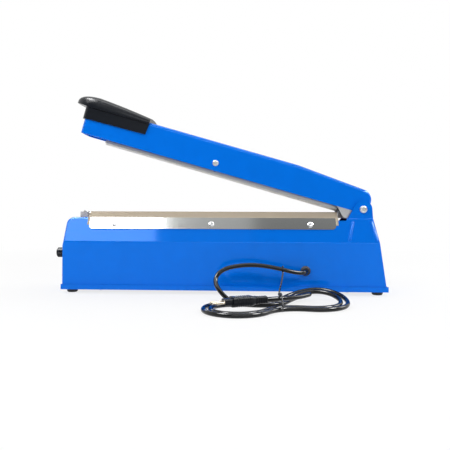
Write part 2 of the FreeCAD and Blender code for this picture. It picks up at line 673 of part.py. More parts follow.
feet, foot_screws, foot_nuts = [], [], []
head_seat = "foot_height * 0.5"
for at, spot in enumerate(foot_places):
    foot = turned("foot_%d" % at, [
        ("foot_screw / 2 + hole_room", "foot_height"), ("foot_across / 2", "foot_height"),
        ("foot_across / 2 - 1", "0.8"), ("foot_across / 2 - 2", "0"), ("foot_screw + 0.4", "0"),
        ("foot_screw + 0.4", head_seat), ("foot_screw / 2 + hole_room", head_seat)])
    feet.append(move(foot, *spot))
    screw = turned("foot_screw_%d" % at, [
        ("0", "foot_height * 0.15"), ("foot_screw * 0.6", "foot_height * 0.15"),
        ("foot_screw", "foot_height * 0.3"), ("foot_screw", head_seat), ("foot_screw / 2", head_seat),
        ("foot_screw / 2", "floor_top + foot_screw"), ("0", "floor_top + foot_screw")])
    foot_screws.append(move(screw, *spot))
    nut = hexagon("foot_nut_%d" % at, "z", spot, "foot_nut", ("floor_top", "floor_top + foot_screw * 0.8"))
    bore = rod("foot_nut_bore_%d" % at, "z", spot, "foot_screw",
               ("floor_top - 1", "floor_top + foot_screw"))
    foot_nuts.append(cut("foot_nut_cut_%d" % at, nut, bore))
piece(group("feet", *feet), "rubber_feet")
piece(group("foot_screw_set", *foot_screws), "foot_screws")
piece(group("foot_nut_set", *foot_nuts), "foot_nuts")

brackets, tray_screws = [], []
for at, (x, y) in enumerate(bracket_places):
    outward = "-" if y.startswith("-") else ""
    angle = body("bracket_%d" % at)
    wall = "%s(half_base - housing_sheet)" % outward
    inner = "%s(half_base - housing_sheet - bracket_sheet)" % outward
    toe = "%s(half_base - housing_sheet - bracket_size)" % outward
    rise = "floor_top + bracket_sheet"
    pad(angle, outline(angle, "YZ_Plane", [
        (toe, "floor_top"), (wall, "floor_top"), (wall, "floor_top + bracket_size"),
        (inner, "floor_top + bracket_size"), (inner, rise), (toe, rise)]), "bracket_size")
    move(angle, x)
    bore = rod("bracket_bore_%d" % at, "z", (x, y), "tray_screw",
               ("floor_top - 1", "floor_top + bracket_size / 2"))
    brackets.append(cut("bracket_cut_%d" % at, angle, bore))
    screw = pan_head("tray_screw_%d" % at, "tray_screw * 2", "tray_screw * 0.6", "tray_screw",
                     "tray_sheet + bracket_sheet + 2")
    screw.Placement = FreeCAD.Placement(V(), FreeCAD.Rotation(ALONG_X, 180))
    tray_screws.append(move(screw, x, y, "foot_height"))
piece(group("bracket_set", *brackets), "tray_brackets")
piece(group("tray_screw_set", *tray_screws), "tray_screws")

# Seal bed: an aluminium bar under insulating tape, the heating ribbon and the non-stick cloth.

bed = body("bed")
pad(bed, outline(bed, "XZ_Plane", [
    ("bed_left", "top_height"), ("bed_right", "top_height"), ("bed_right", "bed_top"),
    ("bed_left", "bed_top")]),
    "bed_width")
rounded(bed, "bed_round", lambda edge: runs(edge, ALONG_X) and near(edge.CenterOfMass.z, "bed_top"))
bed_bores = [rod("bed_bore_%d" % at, "z", (x, "0"), "bed_screw",
                 ("top_height - 1", "top_height + bed_screw_grip"))
             for at, x in enumerate(bed_places)]
piece(cut("bed_cut", bed, *bed_bores), "seal_bed")
bed_screws = []
for at, x in enumerate(bed_places):
    screw = pan_head("bed_screw_%d" % at, "bed_screw * 1.9", "bed_screw * 0.6", "bed_screw",
                     "housing_sheet + bed_screw_grip")
    screw.Placement = FreeCAD.Placement(V(), FreeCAD.Rotation(ALONG_X, 180))
    bed_screws.append(move(screw, x, "0", "top_height - housing_sheet"))
piece(group("bed_screw_set", *bed_screws), "bed_screws")
piece(box("tape_strip", ("bed_left", "bed_right"), ("-tape_width / 2", "tape_width / 2"),
          ("bed_top", "tape_top")),
      "bed_tape")

left_terminal = ("bed_left - terminal_gap - terminal_length", "bed_left - terminal_gap")
right_terminal = ("bed_right", "bed_right + terminal_length")
ribbon = box("ribbon", ("%s + 1" % left_terminal[0], "%s - 1" % right_terminal[1]),
             ("-element_width / 2", "element_width / 2"), ("tape_top", "element_top"))
terminals = {"left": left_terminal, "right": right_terminal}
ribbon_holes = []
terminal_screws = []
for side, ends in terminals.items():
    middle = "(%s + %s) / 2" % ends
    tab = rod(side + "_tab", "z", (middle, "0"), "terminal_head", ("tape_top", "element_top"))
    ribbon_holes.append(rod(side + "_tab_hole", "z", (middle, "0"), "terminal_screw",
                            ("tape_top - 1", "element_top + 1")))
    ribbon = fuse(side + "_ribbon", ribbon, tab)
    block = box(side + "_block", ends, ("-terminal_width / 2", "terminal_width / 2"),
                ("top_height", "tape_top"))
    bore = rod(side + "_bore", "z", (middle, "0"), "terminal_screw",
               ("tape_top - bed_height / 2", "tape_top + 1"))
    piece(cut(side + "_block_cut", block, bore), side + "_terminal_block")
    screw = pan_head(side + "_terminal_screw", "terminal_head", "terminal_head_height", "terminal_screw",
                     "bed_height / 2 + element")
    terminal_screws.append(move(screw, middle, "0", "element_top"))
piece(cut("ribbon_cut", ribbon, *ribbon_holes), "heating_element")
piece(group("terminal_screw_set", *terminal_screws), "terminal_screws")

cloth_form = body("cloth_form")
hem_y = "cloth_hem * sin(slope)"
hem_z = "cloth_hem * cos(slope)"
lift_y = "cloth * cos(slope)"
lift_z = "cloth * sin(slope)"
edge_y = "bed_width / 2 - bed_round"
bend_lift = "cloth / (sin(slope) + cos(slope))"
under = [(edge_y, "element_top"), ("half_top", "top_height"),
         ("half_top + %s" % hem_y, "top_height - %s" % hem_z)]
over = [("half_top + %s + %s" % (hem_y, lift_y), "top_height - %s + %s" % (hem_z, lift_z)),
        ("half_top + %s" % bend_lift, "top_height + %s" % bend_lift),
        (edge_y + " + cloth * 0.3", "cloth_top")]
half_loop = under + over
far_loop = [("-(%s)" % y, z) for y, z in reversed(half_loop)]
pad(cloth_form, outline(cloth_form, "YZ_Plane", half_loop + far_loop), "cloth_length")
move(cloth_form, "bed_x")
piece(cut("cloth_cut", cloth_form, *clamp_holes), "ptfe_cloth")

# Clamp plates: two bright strips, each held on its shoulder by three screws over the cloth's hem.

plate = body("plate")
plate_low = "-(plate_drop + plate_width)"
screw_row = "-(plate_drop + plate_screw_row)"
pad(plate, outline(plate, "XY_Plane", [
    ("-plate_length / 2", plate_low), ("plate_length / 2", plate_low),
    ("plate_length / 2", "-plate_drop"), ("-plate_length / 2", "-plate_drop")],
    holes=[(x.replace("bed_x", "0"), screw_row, "plate_screw + 2 * hole_room") for x in clamp_places],
    start="cloth"), "plate_thick", both=False)
rounded(plate, "plate_round", lambda edge: runs(edge, ALONG_Z) and near(edge.CenterOfMass.y, plate_low))
piece(lean(plate, "bed_x"), "front_clamp_plate")
piece(mirrored("far_plate", plate), "rear_clamp_plate")
clamp_screws = []
for at, x in enumerate(clamp_places):
    screw = pan_head("clamp_screw_%d" % at, "plate_screw_head", "plate_screw_head * 0.3", "plate_screw",
                     "plate_screw_length")
    lean(screw, x)
    out = "(cloth + plate_thick)"
    bind(screw, Placement__Base__y="-half_top + %s * sin(slope) - %s * cos(slope)" % (screw_row, out),
         Placement__Base__z="top_height + %s * cos(slope) + %s * sin(slope)" % (screw_row, out))
    clamp_screws += [screw, mirrored("far_clamp_screw_%d" % at, screw)]
piece(group("clamp_screw_set", *clamp_screws), "clamp_screws")

# Hinge: an axle between the ears with a screw at each end, washers, and the coiled return spring.

axle = rod("axle_rod", "y", ("pin_x", "pin_z"), "axle_across", ("-ear_inside", "ear_inside"))
axle_bores = []
hinge_screws = []
washers = []
for sign, turn in (("-", 90), ("", -90)):
    ends = ("ear_inside - hinge_screw_grip", "ear_inside + 1")
    if sign:
        ends = ("-(%s)" % ends[1], "-(%s)" % ends[0])
    axle_bores.append(rod("axle_bore" + str(turn), "y", ("pin_x", "pin_z"), "hinge_screw", ends))
    screw = pan_head("hinge_screw" + str(turn), "hinge_head", "hinge_head_height", "hinge_screw",
                     "housing_sheet + hinge_screw_grip")
    screw.Placement = FreeCAD.Placement(V(), FreeCAD.Rotation(ALONG_X, turn))
    hinge_screws.append(move(screw, "pin_x", sign + "half_top", "pin_z"))
    faces = ("arm_half + washer_gap", "ear_inside")
    if sign:
        faces = ("-(%s)" % faces[1], "-(%s)" % faces[0])
    disc = rod("washer" + str(turn), "y", ("pin_x", "pin_z"), "washer_across", faces)
    eye = rod("washer_eye" + str(turn), "y", ("pin_x", "pin_z"), "axle_across",
              ("-half_top" if sign else "0", "0" if sign else "half_top"))
    washers.append(cut("washer_cut" + str(turn), disc, eye))
piece(cut("axle", axle, *axle_bores), "hinge_axle")
piece(group("hinge_screw_set", *hinge_screws), "hinge_screws")
piece(group("washer_set", *washers), "hinge_washers")

# Arm: a folded channel, open below, with rounded corners and a taper towards the hinge.

def arm_form(name, inset, low):
    """The arm's outside moved in by an inset, drawn closed about the pin."""
    form = body(name)
    pad(form, outline(form, "XZ_Plane", [
        ("-arm_length + %s" % inset, low),
        ("-arm_length + %s" % inset, "arm_top - %s" % inset),
        ("-arm_taper", "arm_top - %s" % inset),
        ("arm_tail - %s" % inset, "arm_top - arm_taper_drop - %s" % inset),
        ("arm_tail - %s" % inset, low)]), "arm_width - 2 * (%s)" % inset)
    rounded(form, "arm_tail_round - (%s)" % inset, lambda edge: runs(edge, ALONG_Y)
            and edge.CenterOfMass.x > 0 and edge.CenterOfMass.z > 0)
    rounded(form, "arm_end_round - (%s)" % inset,
            lambda edge: runs(edge, ALONG_Z) and edge.CenterOfMass.x < 0)
    rounded(form, "arm_round - (%s)" % inset, lambda edge: near(edge.CenterOfMass.z, "arm_top - %s" % inset)
            and edge.CenterOfMass.x < -size("arm_taper") - 1)
    return form


arm_shell = cut("arm_shell", arm_form("arm_outside", "0", "-arm_drop"),
                arm_form("arm_inside_form", "arm_sheet", "-arm_drop - %g" % PAST))
across_arm = ("-arm_half - %g" % PAST, "arm_half + %g" % PAST)
screw_x = ["-(arm_length - handle_length * 0.25)", "-(arm_length - handle_length * 0.75)"]
arm_holes = [rod("arm_pin_hole", "y", ("0", "0"), "axle_across + 2 * axle_room", across_arm),
             rod("arm_cross_hole", "y", ("-cross_along", "cross_rise"), "cross_across + 2 * hole_room",
                 across_arm)]
arm_holes += [rod("arm_handle_hole_%d" % at, "z", (x, "0"), "handle_screw + 2 * hole_room",
                  ("arm_top - %g" % PAST, "arm_top + %g" % PAST)) for at, x in enumerate(screw_x)]
piece(hang(cut("arm", arm_shell, *arm_holes)), "arm_channel")

# Handle: a moulded cap over the end of the arm, with a skirt and a wider crown that ends in a lip.

handle_front = "-(arm_length + handle_gap + handle_wall)"
handle_end = "-(arm_length - handle_length)"
lip_z = "arm_top - handle_lip"
skirt_half = "arm_half + handle_gap + handle_wall"
skirt = body("skirt")
pad(skirt, outline(skirt, "XZ_Plane", [
    (handle_front, lip_z + " - handle_skirt"), (handle_front, lip_z + " + handle_edge"),
    (handle_end, lip_z + " + handle_edge"), (handle_end + " - 2", lip_z + " - handle_skirt + 1.5")]),
    "2 * (%s)" % skirt_half)
rounded(skirt, "arm_end_round + handle_wall",
        lambda edge: runs(edge, ALONG_Z) and near(edge.CenterOfMass.x, handle_front))


def dome_section(along):
    """The handle's section at a distance from its tip: a flat underside, an upright lip and a dome."""
    ahead = max(0.0, 1 - along / size("handle_nose"))
    round_in = math.sqrt(1 - ahead ** 2)
    half = size("%s + handle_side" % skirt_half) * round_in
    low = size(lip_z) + size("handle_rise") * ahead ** 2
    lip = low + size("handle_edge") * (0.4 + 0.6 * round_in)
    past = max(0.0, along - size("handle_nose")) / (dome_length - size("handle_nose"))
    rise = (size("handle_crown - handle_edge") - size("handle_crown - handle_back") * past ** 1.3) * round_in
    x = dome_tip + along
    shares = [(1, 0), (1, 0.58), (0.78, 1), (0, 1), (-0.78, 1), (-1, 0.58), (-1, 0)]
    poles = [V(x, half * aside, lip + rise * up) for aside, up in shares]
    dome = Part.BSplineCurve()
    dome.buildFromPolesMultsKnots(poles, [4, 1, 1, 1, 4], [0, 1, 2, 3, 4], False, 3)
    feet = [V(x, half, low), V(x, -half, low)]
    sides = [(feet[0], poles[0]), (poles[-1], feet[1]), (feet[1], feet[0])]
    lines = [Part.LineSegment(begin, end).toShape() for begin, end in sides]
    return Part.Wire([lines[0], dome.toShape(), *lines[1:]])


dome_tip = size(handle_front + " - handle_tip")
dome_length = size(handle_end) - dome_tip
nose_steps = [size("handle_nose") * (1 - math.cos(math.radians(angle))) for angle in (9, 26, 46, 68, 90)]
back_steps = [nose_steps[-1], (nose_steps[-1] + dome_length) / 2, dome_length]
domes = [solid("dome_%d" % at, Part.makeLoft([dome_section(along) for along in steps], True, False))
         for at, steps in enumerate((nose_steps, back_steps))]
handle_bores = [rod("handle_bore_%d" % at, "z", (x, "0"), "handle_screw",
                    ("arm_top - 1", "arm_top + handle_screw_grip"))
                for at, x in enumerate(screw_x)]
arm_room = arm_form("arm_room", "-handle_gap", "-arm_drop - %g" % PAST)
piece(hang(cut("handle", fuse("handle_block", skirt, *domes), arm_room, *handle_bores)), "handle_grip")
handle_screws = []
for at, x in enumerate(screw_x):
    screw = pan_head("handle_screw_%d" % at, "handle_screw * 2", "handle_screw * 0.6", "handle_screw",
                     "arm_sheet + handle_gap + handle_screw_grip - handle_gap")
    screw.Placement = FreeCAD.Placement(V(), FreeCAD.Rotation(ALONG_X, 180))
    handle_screws.append(move(screw, x, "0", "arm_top - arm_sheet"))
piece(hang(group("handle_screw_set", *handle_screws)), "handle_screws")

# Press bar: a T-section that rides on the cross screw in a slot, with the silicone in its groove.

bar = body("bar")
groove = "bar_low + strip_seat"
shelf = "bar_low + bar_flange"
crest = "bar_low + bar_height"
pad(bar, outline(bar, "YZ_Plane", [
    ("-bar_width / 2", "bar_low"), ("-strip_width / 2", "bar_low"), ("-strip_width / 2", groove),
    ("strip_width / 2", groove), ("strip_width / 2", "bar_low"), ("bar_width / 2", "bar_low"),
    ("bar_width / 2", shelf), ("bar_web / 2", shelf), ("bar_web / 2", crest),
    ("-bar_web / 2", crest), ("-bar_web / 2", shelf), ("-bar_width / 2", shelf)]), "strip_length")
bar_mid = "-(strip_near + strip_length / 2)"
move(bar, bar_mid)
slot_across = "cross_across + 2 * cross_room"
slot_ends = ("-bar_web", "bar_web")
slot_high = rod("slot_high", "y", ("-cross_along", "cross_rise"), slot_across, slot_ends)
slot_low = rod("slot_low", "y", ("-cross_along", "cross_rise - press_travel"), slot_across, slot_ends)
slot_mid = box("slot_mid", ("-cross_along - (%s) / 2" % slot_across,
                            "-cross_along + (%s) / 2" % slot_across),
               slot_ends, ("cross_rise - press_travel", "cross_rise"))
piece(hang(cut("bar_cut", bar, slot_high, slot_low, slot_mid)), "press_bar")
strip = body("strip")
pad(strip, outline(strip, "YZ_Plane", [
    ("-strip_width / 2", groove), ("-strip_width / 2", "strip_low"),
    ("strip_width / 2", "strip_low"), ("strip_width / 2", groove)]), "strip_length")
rounded(strip, "strip_show * 0.4",
        lambda edge: runs(edge, ALONG_X) and near(edge.CenterOfMass.z, "strip_low"))
move(strip, bar_mid)
piece(hang(fuse("strip_placed", strip, box("strip_back", ("-strip_near - strip_length", "-strip_near"),
                                           ("-strip_width / 2", "strip_width / 2"), ("bar_low", groove)))),
      "silicone_strip")

cross = pan_head("cross", "cross_head", "cross_head_height", "cross_across", "arm_width + cross_across")
cross.Placement = FreeCAD.Placement(V(), FreeCAD.Rotation(ALONG_X, 90))
move(cross, "-cross_along", "-arm_half", "cross_rise")
piece(hang(group("cross_placed", cross)), "cross_screw")
cross_nut = hexagon("cross_nut_block", "y", ("-cross_along", "cross_rise"), "cross_across * 1.75",
                    ("arm_half", "arm_half + cross_across * 0.8"))
cross_bore = rod("cross_nut_bore", "y", ("-cross_along", "cross_rise"), "cross_across", ("0", "arm_width"))
piece(hang(cut("cross_nut_cut", cross_nut, cross_bore)), "cross_nut")

# Pressure leaf: a bowed strip of spring steel between the press bar's web and the roof of the arm.

leaf_low = size("bar_low + bar_height")
leaf_rise = size("arm_top - arm_sheet - leaf_gap") - leaf_low
leaf_mid = -size("cross_along")
leaf_half = size("leaf_span") / 2
thick = size("leaf_thick")


def bow(lift):
    """An arc from end to end of the leaf, standing off its ends and crown by a lift."""
    edge = -size("leaf_width") / 2
    ends = [V(leaf_mid + side * leaf_half, edge, leaf_low + lift) for side in (-1, 1)]
    return ends[0], V(leaf_mid, edge, leaf_low + leaf_rise - thick + lift), ends[1]


lower, upper = bow(0), bow(thick)
leaf_loop = [Part.Arc(*lower).toShape(), Part.LineSegment(lower[2], upper[2]).toShape(),
             Part.Arc(*reversed(upper)).toShape(), Part.LineSegment(upper[0], lower[0]).toShape()]
leaf = Part.Face(Part.Wire(leaf_loop)).extrude(V(0, size("leaf_width"), 0))
piece(hang(group("leaf_placed", solid("leaf", leaf))), "pressure_leaf")

# Push bracket: a bent steel stirrup inside the arm whose foot works the switch as the arm closes.

cheek = body("cheek")
pad(cheek, outline(cheek, "XZ_Plane", [
    ("-push_front", "push_rise"), ("-push_front", "-arm_drop + push_sheet"),
    ("-push_at - 2.4 * push_half", "-push_foot"), ("-push_at + push_half", "-push_foot"),
    ("-push_at + push_half", "-push_foot + 2 * push_sheet"), ("-push_back", "-axle_across"),
    ("-push_back", "push_rise")], start="arm_inside - push_sheet"), "push_sheet", both=False)
push_base = box("push_base", ("-push_at - push_half", "-push_at + push_half"),
                ("-arm_inside + push_sheet / 2", "arm_inside - push_sheet / 2"),
                ("-push_foot", "-push_foot + push_sheet"))
push_form = fuse("push_form", cheek, mirrored("far_cheek", cheek), push_base)
rivet_z = "push_rise - rivet_edge - rivet_head_height"
rivet_places = [("-push_front + rivet_edge", rivet_z), ("-push_back - rivet_edge", rivet_z)]
rivet_holes = [rod("rivet_hole_%d" % at, "y", spot, "rivet_across", across_arm)
               for at, spot in enumerate(rivet_places)]
piece(hang(cut("push_cut", push_form, *rivet_holes)), "push_bracket")
rivets = []
for at, spot in enumerate(rivet_places):
    inner_face = "-arm_inside + push_sheet"
    shank = rod("rivet_%d" % at, "y", spot, "rivet_across", ("-arm_inside", inner_face))
    head = rod("rivet_head_%d" % at, "y", spot, "rivet_head",
               (inner_face, inner_face + " + rivet_head_height"))
    rivet = fuse("rivet_form_%d" % at, shank, head)
    rivets += [rivet, mirrored("far_rivet_%d" % at, rivet)]
piece(hang(group("rivet_set", *rivets)), "bracket_rivets")

# Switch: a small snap switch under the push bracket, screwed to a hanger below the flat top.

switch_ends = ("switch_x - switch_length / 2", "switch_x + switch_length / 2")
switch_half = "switch_width / 2"
case = box("switch_case", switch_ends, ("-" + switch_half, switch_half),
           ("switch_top - switch_height", "switch_top"))
button_bore = rod("button_bore", "z", ("switch_x", "0"), "button_across + 2 * button_room",
                  ("switch_top - button_depth", "switch_top + 1"))
switch_row = "switch_top - switch_height * 0.72"
switch_spots = [("switch_x - switch_pitch / 2", switch_row), ("switch_x + switch_pitch / 2", switch_row)]
case_holes = [rod("case_hole_%d" % at, "y", spot, "switch_screw + 2 * hole_room",
                  ("-switch_width", "switch_width")) for at, spot in enumerate(switch_spots)]
piece(cut("switch_cut", case, button_bore, *case_holes), "switch_body")
button = rod("button_stem", "z", ("switch_x", "0"), "button_across",
             ("switch_top - button_depth + button_travel + 0.5", "button_rest"))
piece(button, "switch_button")
hanger_x = ("bed_right - hanger_start", "bed_right - hanger_end")
hanger_y = (switch_half, switch_half + " + frame_sheet")
under_top = "top_height - housing_sheet"
hanger_plate = box("hanger_plate", (hanger_x[0], switch_ends[1]), hanger_y,
                   ("switch_top - switch_height", "switch_top - hanger_drop"))
hanger_neck = box("hanger_neck", hanger_x, hanger_y, ("switch_top - switch_height", under_top))
hanger_flange = box("hanger_flange", hanger_x, (switch_half, switch_half + " + hanger_flange"),
                    (under_top + " - frame_sheet", under_top))
hanger_holes = [rod("hanger_hole_%d" % at, "y", spot, "switch_screw", ("0", "switch_width + %g" % PAST))
                for at, spot in enumerate(switch_spots)]
piece(cut("hanger", fuse("hanger_form", hanger_plate, hanger_neck, hanger_flange), *hanger_holes),
      "switch_hanger")
switch_screws = []
for at, (x, z) in enumerate(switch_spots):
    screw = pan_head("switch_screw_%d" % at, "switch_screw * 1.9", "switch_screw * 0.6", "switch_screw",
                     "switch_width + frame_sheet + 1")
    screw.Placement = FreeCAD.Placement(V(), FreeCAD.Rotation(ALONG_X, 90))
    switch_screws.append(move(screw, x, "-" + switch_half, z))
piece(group("switch_screw_set", *switch_screws), "switch_screws")

# Timer: a fluted knob on a potentiometer's shaft, the indicator lamp, and the board behind them.

knob_face = "left_end - knob_reach"
knob_back = "knob_wall - knob_gap"
knob_form = turned("knob_form", [
    ("0", "0"), ("knob_across / 2 - 1", "0"), ("knob_across / 2", "1"),
    ("knob_across / 2", "(%s) - (%s)" % (knob_back, knob_face)),
    ("knob_recess / 2", "(%s) - (%s)" % (knob_back, knob_face)),
    ("knob_recess / 2", "(%s) - (%s) - knob_recess_depth" % (knob_back, knob_face)),
    ("0", "(%s) - (%s) - knob_recess_depth" % (knob_back, knob_face))])
knob_form.Placement = FreeCAD.Placement(V(), AIMS["x"])
move(knob_form, knob_face, "knob_y", "knob_z")
flutes = []
for at in range(int(size("flute_count"))):
    flute_turn = "%d * 360 deg / flute_count" % at
    flute_in = "(knob_across / 2 + flute_across * 0.2)"
    flute_y = "knob_y + %s * cos(%s)" % (flute_in, flute_turn)
    flute_z = "knob_z + %s * sin(%s)" % (flute_in, flute_turn)
    flute_ends = (knob_face + " - 1", knob_back + " - 0.8")
    flutes.append(rod("flute_%d" % at, "x", (flute_y, flute_z), "flute_across", flute_ends))
knob_bore = rod("knob_bore", "x", ("knob_y", "knob_z"), "shaft_across",
                (knob_back + " - knob_bore_depth", knob_back + " + 1"))
piece(cut("knob", knob_form, *flutes, knob_bore), "timer_knob")
pot_in = "knob_wall + housing_sheet + 0.6"
shaft = rod("pot_shaft", "x", ("knob_y", "knob_z"), "shaft_across",
            (knob_back + " - knob_bore_depth", pot_in + " + 3"))
piece(shaft, "potentiometer_shaft")
pot_case = rod("pot_case", "x", ("knob_y", "knob_z"), "pot_across", (pot_in, pot_in + " + pot_length"))
pot_bush = rod("pot_bush", "x", ("knob_y", "knob_z"), "bush_across", ("knob_wall - bush_reach", pot_in))
pot_bore = rod("pot_bore", "x", ("knob_y", "knob_z"), "shaft_across + 2 * axle_room",
               ("knob_wall - bush_reach - 1", pot_in + " + 4"))
piece(cut("pot", fuse("pot_form", pot_case, pot_bush), pot_bore), "timer_potentiometer")
pot_nut = hexagon("pot_nut_block", "x", ("knob_y", "knob_z"), "pot_nut - 1.4",
                  ("knob_wall - 0.3 - pot_nut_height", "knob_wall - 0.3"))
piece(cut("pot_nut_cut", pot_nut, pot_bush), "potentiometer_nut")

lamp = turned("lamp", [
    ("0", "0"), ("lamp_across * 0.3", "0.1"), ("lamp_across / 2", "lamp_reach"),
    ("lamp_across / 2", "lamp_reach + 4"),
    ("lamp_across / 2 + 0.6", "lamp_reach + 4"), ("lamp_across / 2 + 0.6", "lamp_reach + 5"),
    ("0", "lamp_reach + 5")])
lamp.Placement = FreeCAD.Placement(V(), AIMS["x"])
piece(move(lamp, "lamp_wall - lamp_reach", "knob_y", "lamp_z"), "indicator_lamp")

board = body("board")
pad(board, outline(board, "XY_Plane", [
    ("board_left", "-board_width / 2"), ("board_left + board_length", "-board_width / 2"),
    ("board_left + board_length", "board_width / 2"), ("board_left", "board_width / 2")],
    holes=[(x, y, "board_hole") for x, y in board_places], start="board_low"), "board_thick", both=False)
piece(board, "timer_board")
spacers = [rod("spacer_%d" % at, "z", spot, "board_hole * 2", ("floor_top", "board_low"))
           for at, spot in enumerate(board_places)]
stubs = [rod("stub_%d" % at, "z", spot, "board_hole", ("floor_top", "board_low + board_thick + 2"))
         for at, spot in enumerate(board_places)]
piece(group("spacer_set", *[fuse("spacer_form_%d" % at, a, b)
                            for at, (a, b) in enumerate(zip(spacers, stubs))]),
      "board_spacers")
board_face = "board_low + board_thick"
row_x = "board_left + 2.5 * board_edge"
relay = box("relay", (row_x, row_x + " + relay_length"), ("-board_edge - relay_width", "-board_edge"),
            (board_face, board_face + " + relay_height"))
can_x = "board_left + board_length - 2 * board_edge - can_across"
capacitor = rod("capacitor", "z", (can_x, "-can_across"), "can_across",
                (board_face, board_face + " + can_height"))
triac = box("triac", (row_x, row_x + " + triac_width"), ("2 * board_edge", "2 * board_edge + triac_thick"),
            (board_face, board_face + " + triac_height"))
piece(group("board_part_set", relay, capacitor, triac), "board_parts")

# Transformer: a laminated core with a coil round its middle limb, strapped to the tray.

core_low = "floor_top + frame_sheet"
core_mid_z = "(%s + core_height / 2)" % core_low
core_block = box("core_block", ("core_mid - core_length / 2", "core_mid + core_length / 2"),
                 ("-core_depth / 2", "core_depth / 2"), (core_low, "%s + core_height" % core_low))
window_z = ("%s + core_limb" % core_low, "%s + core_height - core_limb" % core_low)
windows = []
for sign in ("-", ""):
    inner = "core_mid %s core_limb" % ("-" if sign else "+")
    outer = "core_mid %s (core_length / 2 - core_limb)" % ("-" if sign else "+")
    span = (outer, inner) if sign else (inner, outer)
    windows.append(box("window" + str(len(windows)), span, ("-core_depth", "core_depth"), window_z))
piece(cut("core", core_block, *windows), "transformer_core")
coil_x = ("core_mid - core_length / 2 + core_limb + coil_gap",
          "core_mid + core_length / 2 - core_limb - coil_gap")
coil_z = (window_z[0] + " + coil_gap", window_z[1] + " - coil_gap")
coil_block = body("coil_block")
pad(coil_block, outline(coil_block, "XY_Plane", [
    (coil_x[0], "-coil_depth / 2"), (coil_x[1], "-coil_depth / 2"),
    (coil_x[1], "coil_depth / 2"), (coil_x[0], "coil_depth / 2")], start=coil_z[0]),
    "(%s) - (%s)" % (coil_z[1], coil_z[0]), both=False)
rounded(coil_block, "core_limb * 0.6", lambda edge: runs(edge, ALONG_Z))
limb = box("limb", ("core_mid - core_limb - coil_gap", "core_mid + core_limb + coil_gap"),
           ("-core_depth / 2 - coil_gap", "core_depth / 2 + coil_gap"),
           ("floor_top", "%s + core_height" % core_low))
piece(cut("coil", coil_block, limb), "transformer_coil")
frame_out = "(core_length / 2 + frame_sheet)"
frame_top = "%s + core_height" % core_low
strap = body("strap")
pad(strap, outline(strap, "XZ_Plane", [
    ("core_mid - %s - frame_foot" % frame_out, "floor_top"),
    ("core_mid + %s + frame_foot" % frame_out, "floor_top"),
    ("core_mid + %s + frame_foot" % frame_out, core_low), ("core_mid + %s" % frame_out, core_low),
    ("core_mid + %s" % frame_out, frame_top + " + frame_sheet"),
    ("core_mid - %s" % frame_out, frame_top + " + frame_sheet"),
    ("core_mid - %s" % frame_out, core_low), ("core_mid - %s - frame_foot" % frame_out, core_low)]),
    "frame_width")
strap_room = box("strap_room", ("core_mid - core_length / 2", "core_mid + core_length / 2"),
                 ("-frame_width", "frame_width"), (core_low, frame_top))
strap_holes = [rod("strap_hole_%d" % at, "z", spot, "frame_screw", through_tray)
               for at, spot in enumerate(frame_places)]
piece(cut("strap_cut", strap, strap_room, *strap_holes), "transformer_frame")
frame_screws = []
for at, spot in enumerate(frame_places):
    screw = pan_head("frame_screw_%d" % at, "frame_screw * 1.8", "frame_screw * 0.5", "frame_screw",
                     "tray_sheet + frame_sheet + 2")
    screw.Placement = FreeCAD.Placement(V(), FreeCAD.Rotation(ALONG_X, 180))
    frame_screws.append(move(screw, *spot, "foot_height"))
piece(group("frame_screw_set", *frame_screws), "transformer_screws")

# Mains cord: a rubber grommet in the near wall, a free arch, and a tied hank that ends in the plug.

grommet = turned("grommet", [
    ("cord_across / 2", "-3"), ("grommet_neck / 2 + 1", "-3"), ("grommet_neck / 2 + 1", "-housing_sheet"),
    ("grommet_neck / 2", "-housing_sheet"), ("grommet_neck / 2", "0"), ("grommet_flange / 2", "0"),
    ("grommet_flange / 2", "2.4"), ("grommet_flange / 2 - 1", "3.4"),
    ("grommet_neck / 2 - 0.4", "grommet_reach"),
    ("cord_across / 2", "grommet_reach")])
grommet.Placement = FreeCAD.Placement(V(), FreeCAD.Rotation(ALONG_X, 90))
piece(move(grommet, "grommet_mid", "-half_base", "grommet_z"), "cord_grommet")

cord_radius = size("cord_across") / 2
hank_lay = FreeCAD.Rotation(ALONG_Z, size("hank_turn"))
hank_middle = V(size("hank_x"), size("hank_y"), cord_radius + 0.05)
crown_x = size("hank_reach - hank_half")


def hank_place(x, y, z=0.0):
    """A point of the hank, from its own long and cross axes."""
    return hank_middle + hank_lay.multVec(V(x, y, z))


def hank_station(step):
    """The place and heading of the hank at a step: six to a loop, each loop inside the last."""
    half = size("hank_half") - size("hank_step") * step / 6
    waist = size("hank_waist") - size("hank_waist_step") * step / 6
    spots = [(-crown_x, half, 1), (0, waist, 1), (crown_x, half, 1),
             (crown_x, -half, -1), (0, -waist, -1), (-crown_x, -half, -1)]
    x, y, heading = spots[step % 6]
    return hank_place(x, y), hank_lay.multVec(V(heading, 0, 0))


def hank_start():
    """The place and heading half way along the first bend, from the far crown in to the waist."""
    fall = size("hank_half - hank_waist + hank_waist_step / 6")
    angle = -2 * math.atan2(fall, crown_x)
    heading = hank_lay.multVec(V(math.cos(angle), math.sin(angle), 0))
    return hank_place(-crown_x / 2, size("hank_half") - fall / 2), heading


def arc_to(begin, heading, end):
    """The circular arc that leaves a point along a heading and reaches another."""
    chord = end - begin
    toward = V(chord).normalize()
    across = heading - toward * heading.dot(toward)
    if across.Length < 1e-6:
        return Part.LineSegment(begin, end).toShape()
    angle = math.atan2(across.Length, heading.dot(toward))
    middle = (begin + end) * 0.5 + across.normalize() * (chord.Length / 2 * math.tan(angle / 2))
    return Part.Arc(begin, middle, end).toShape()


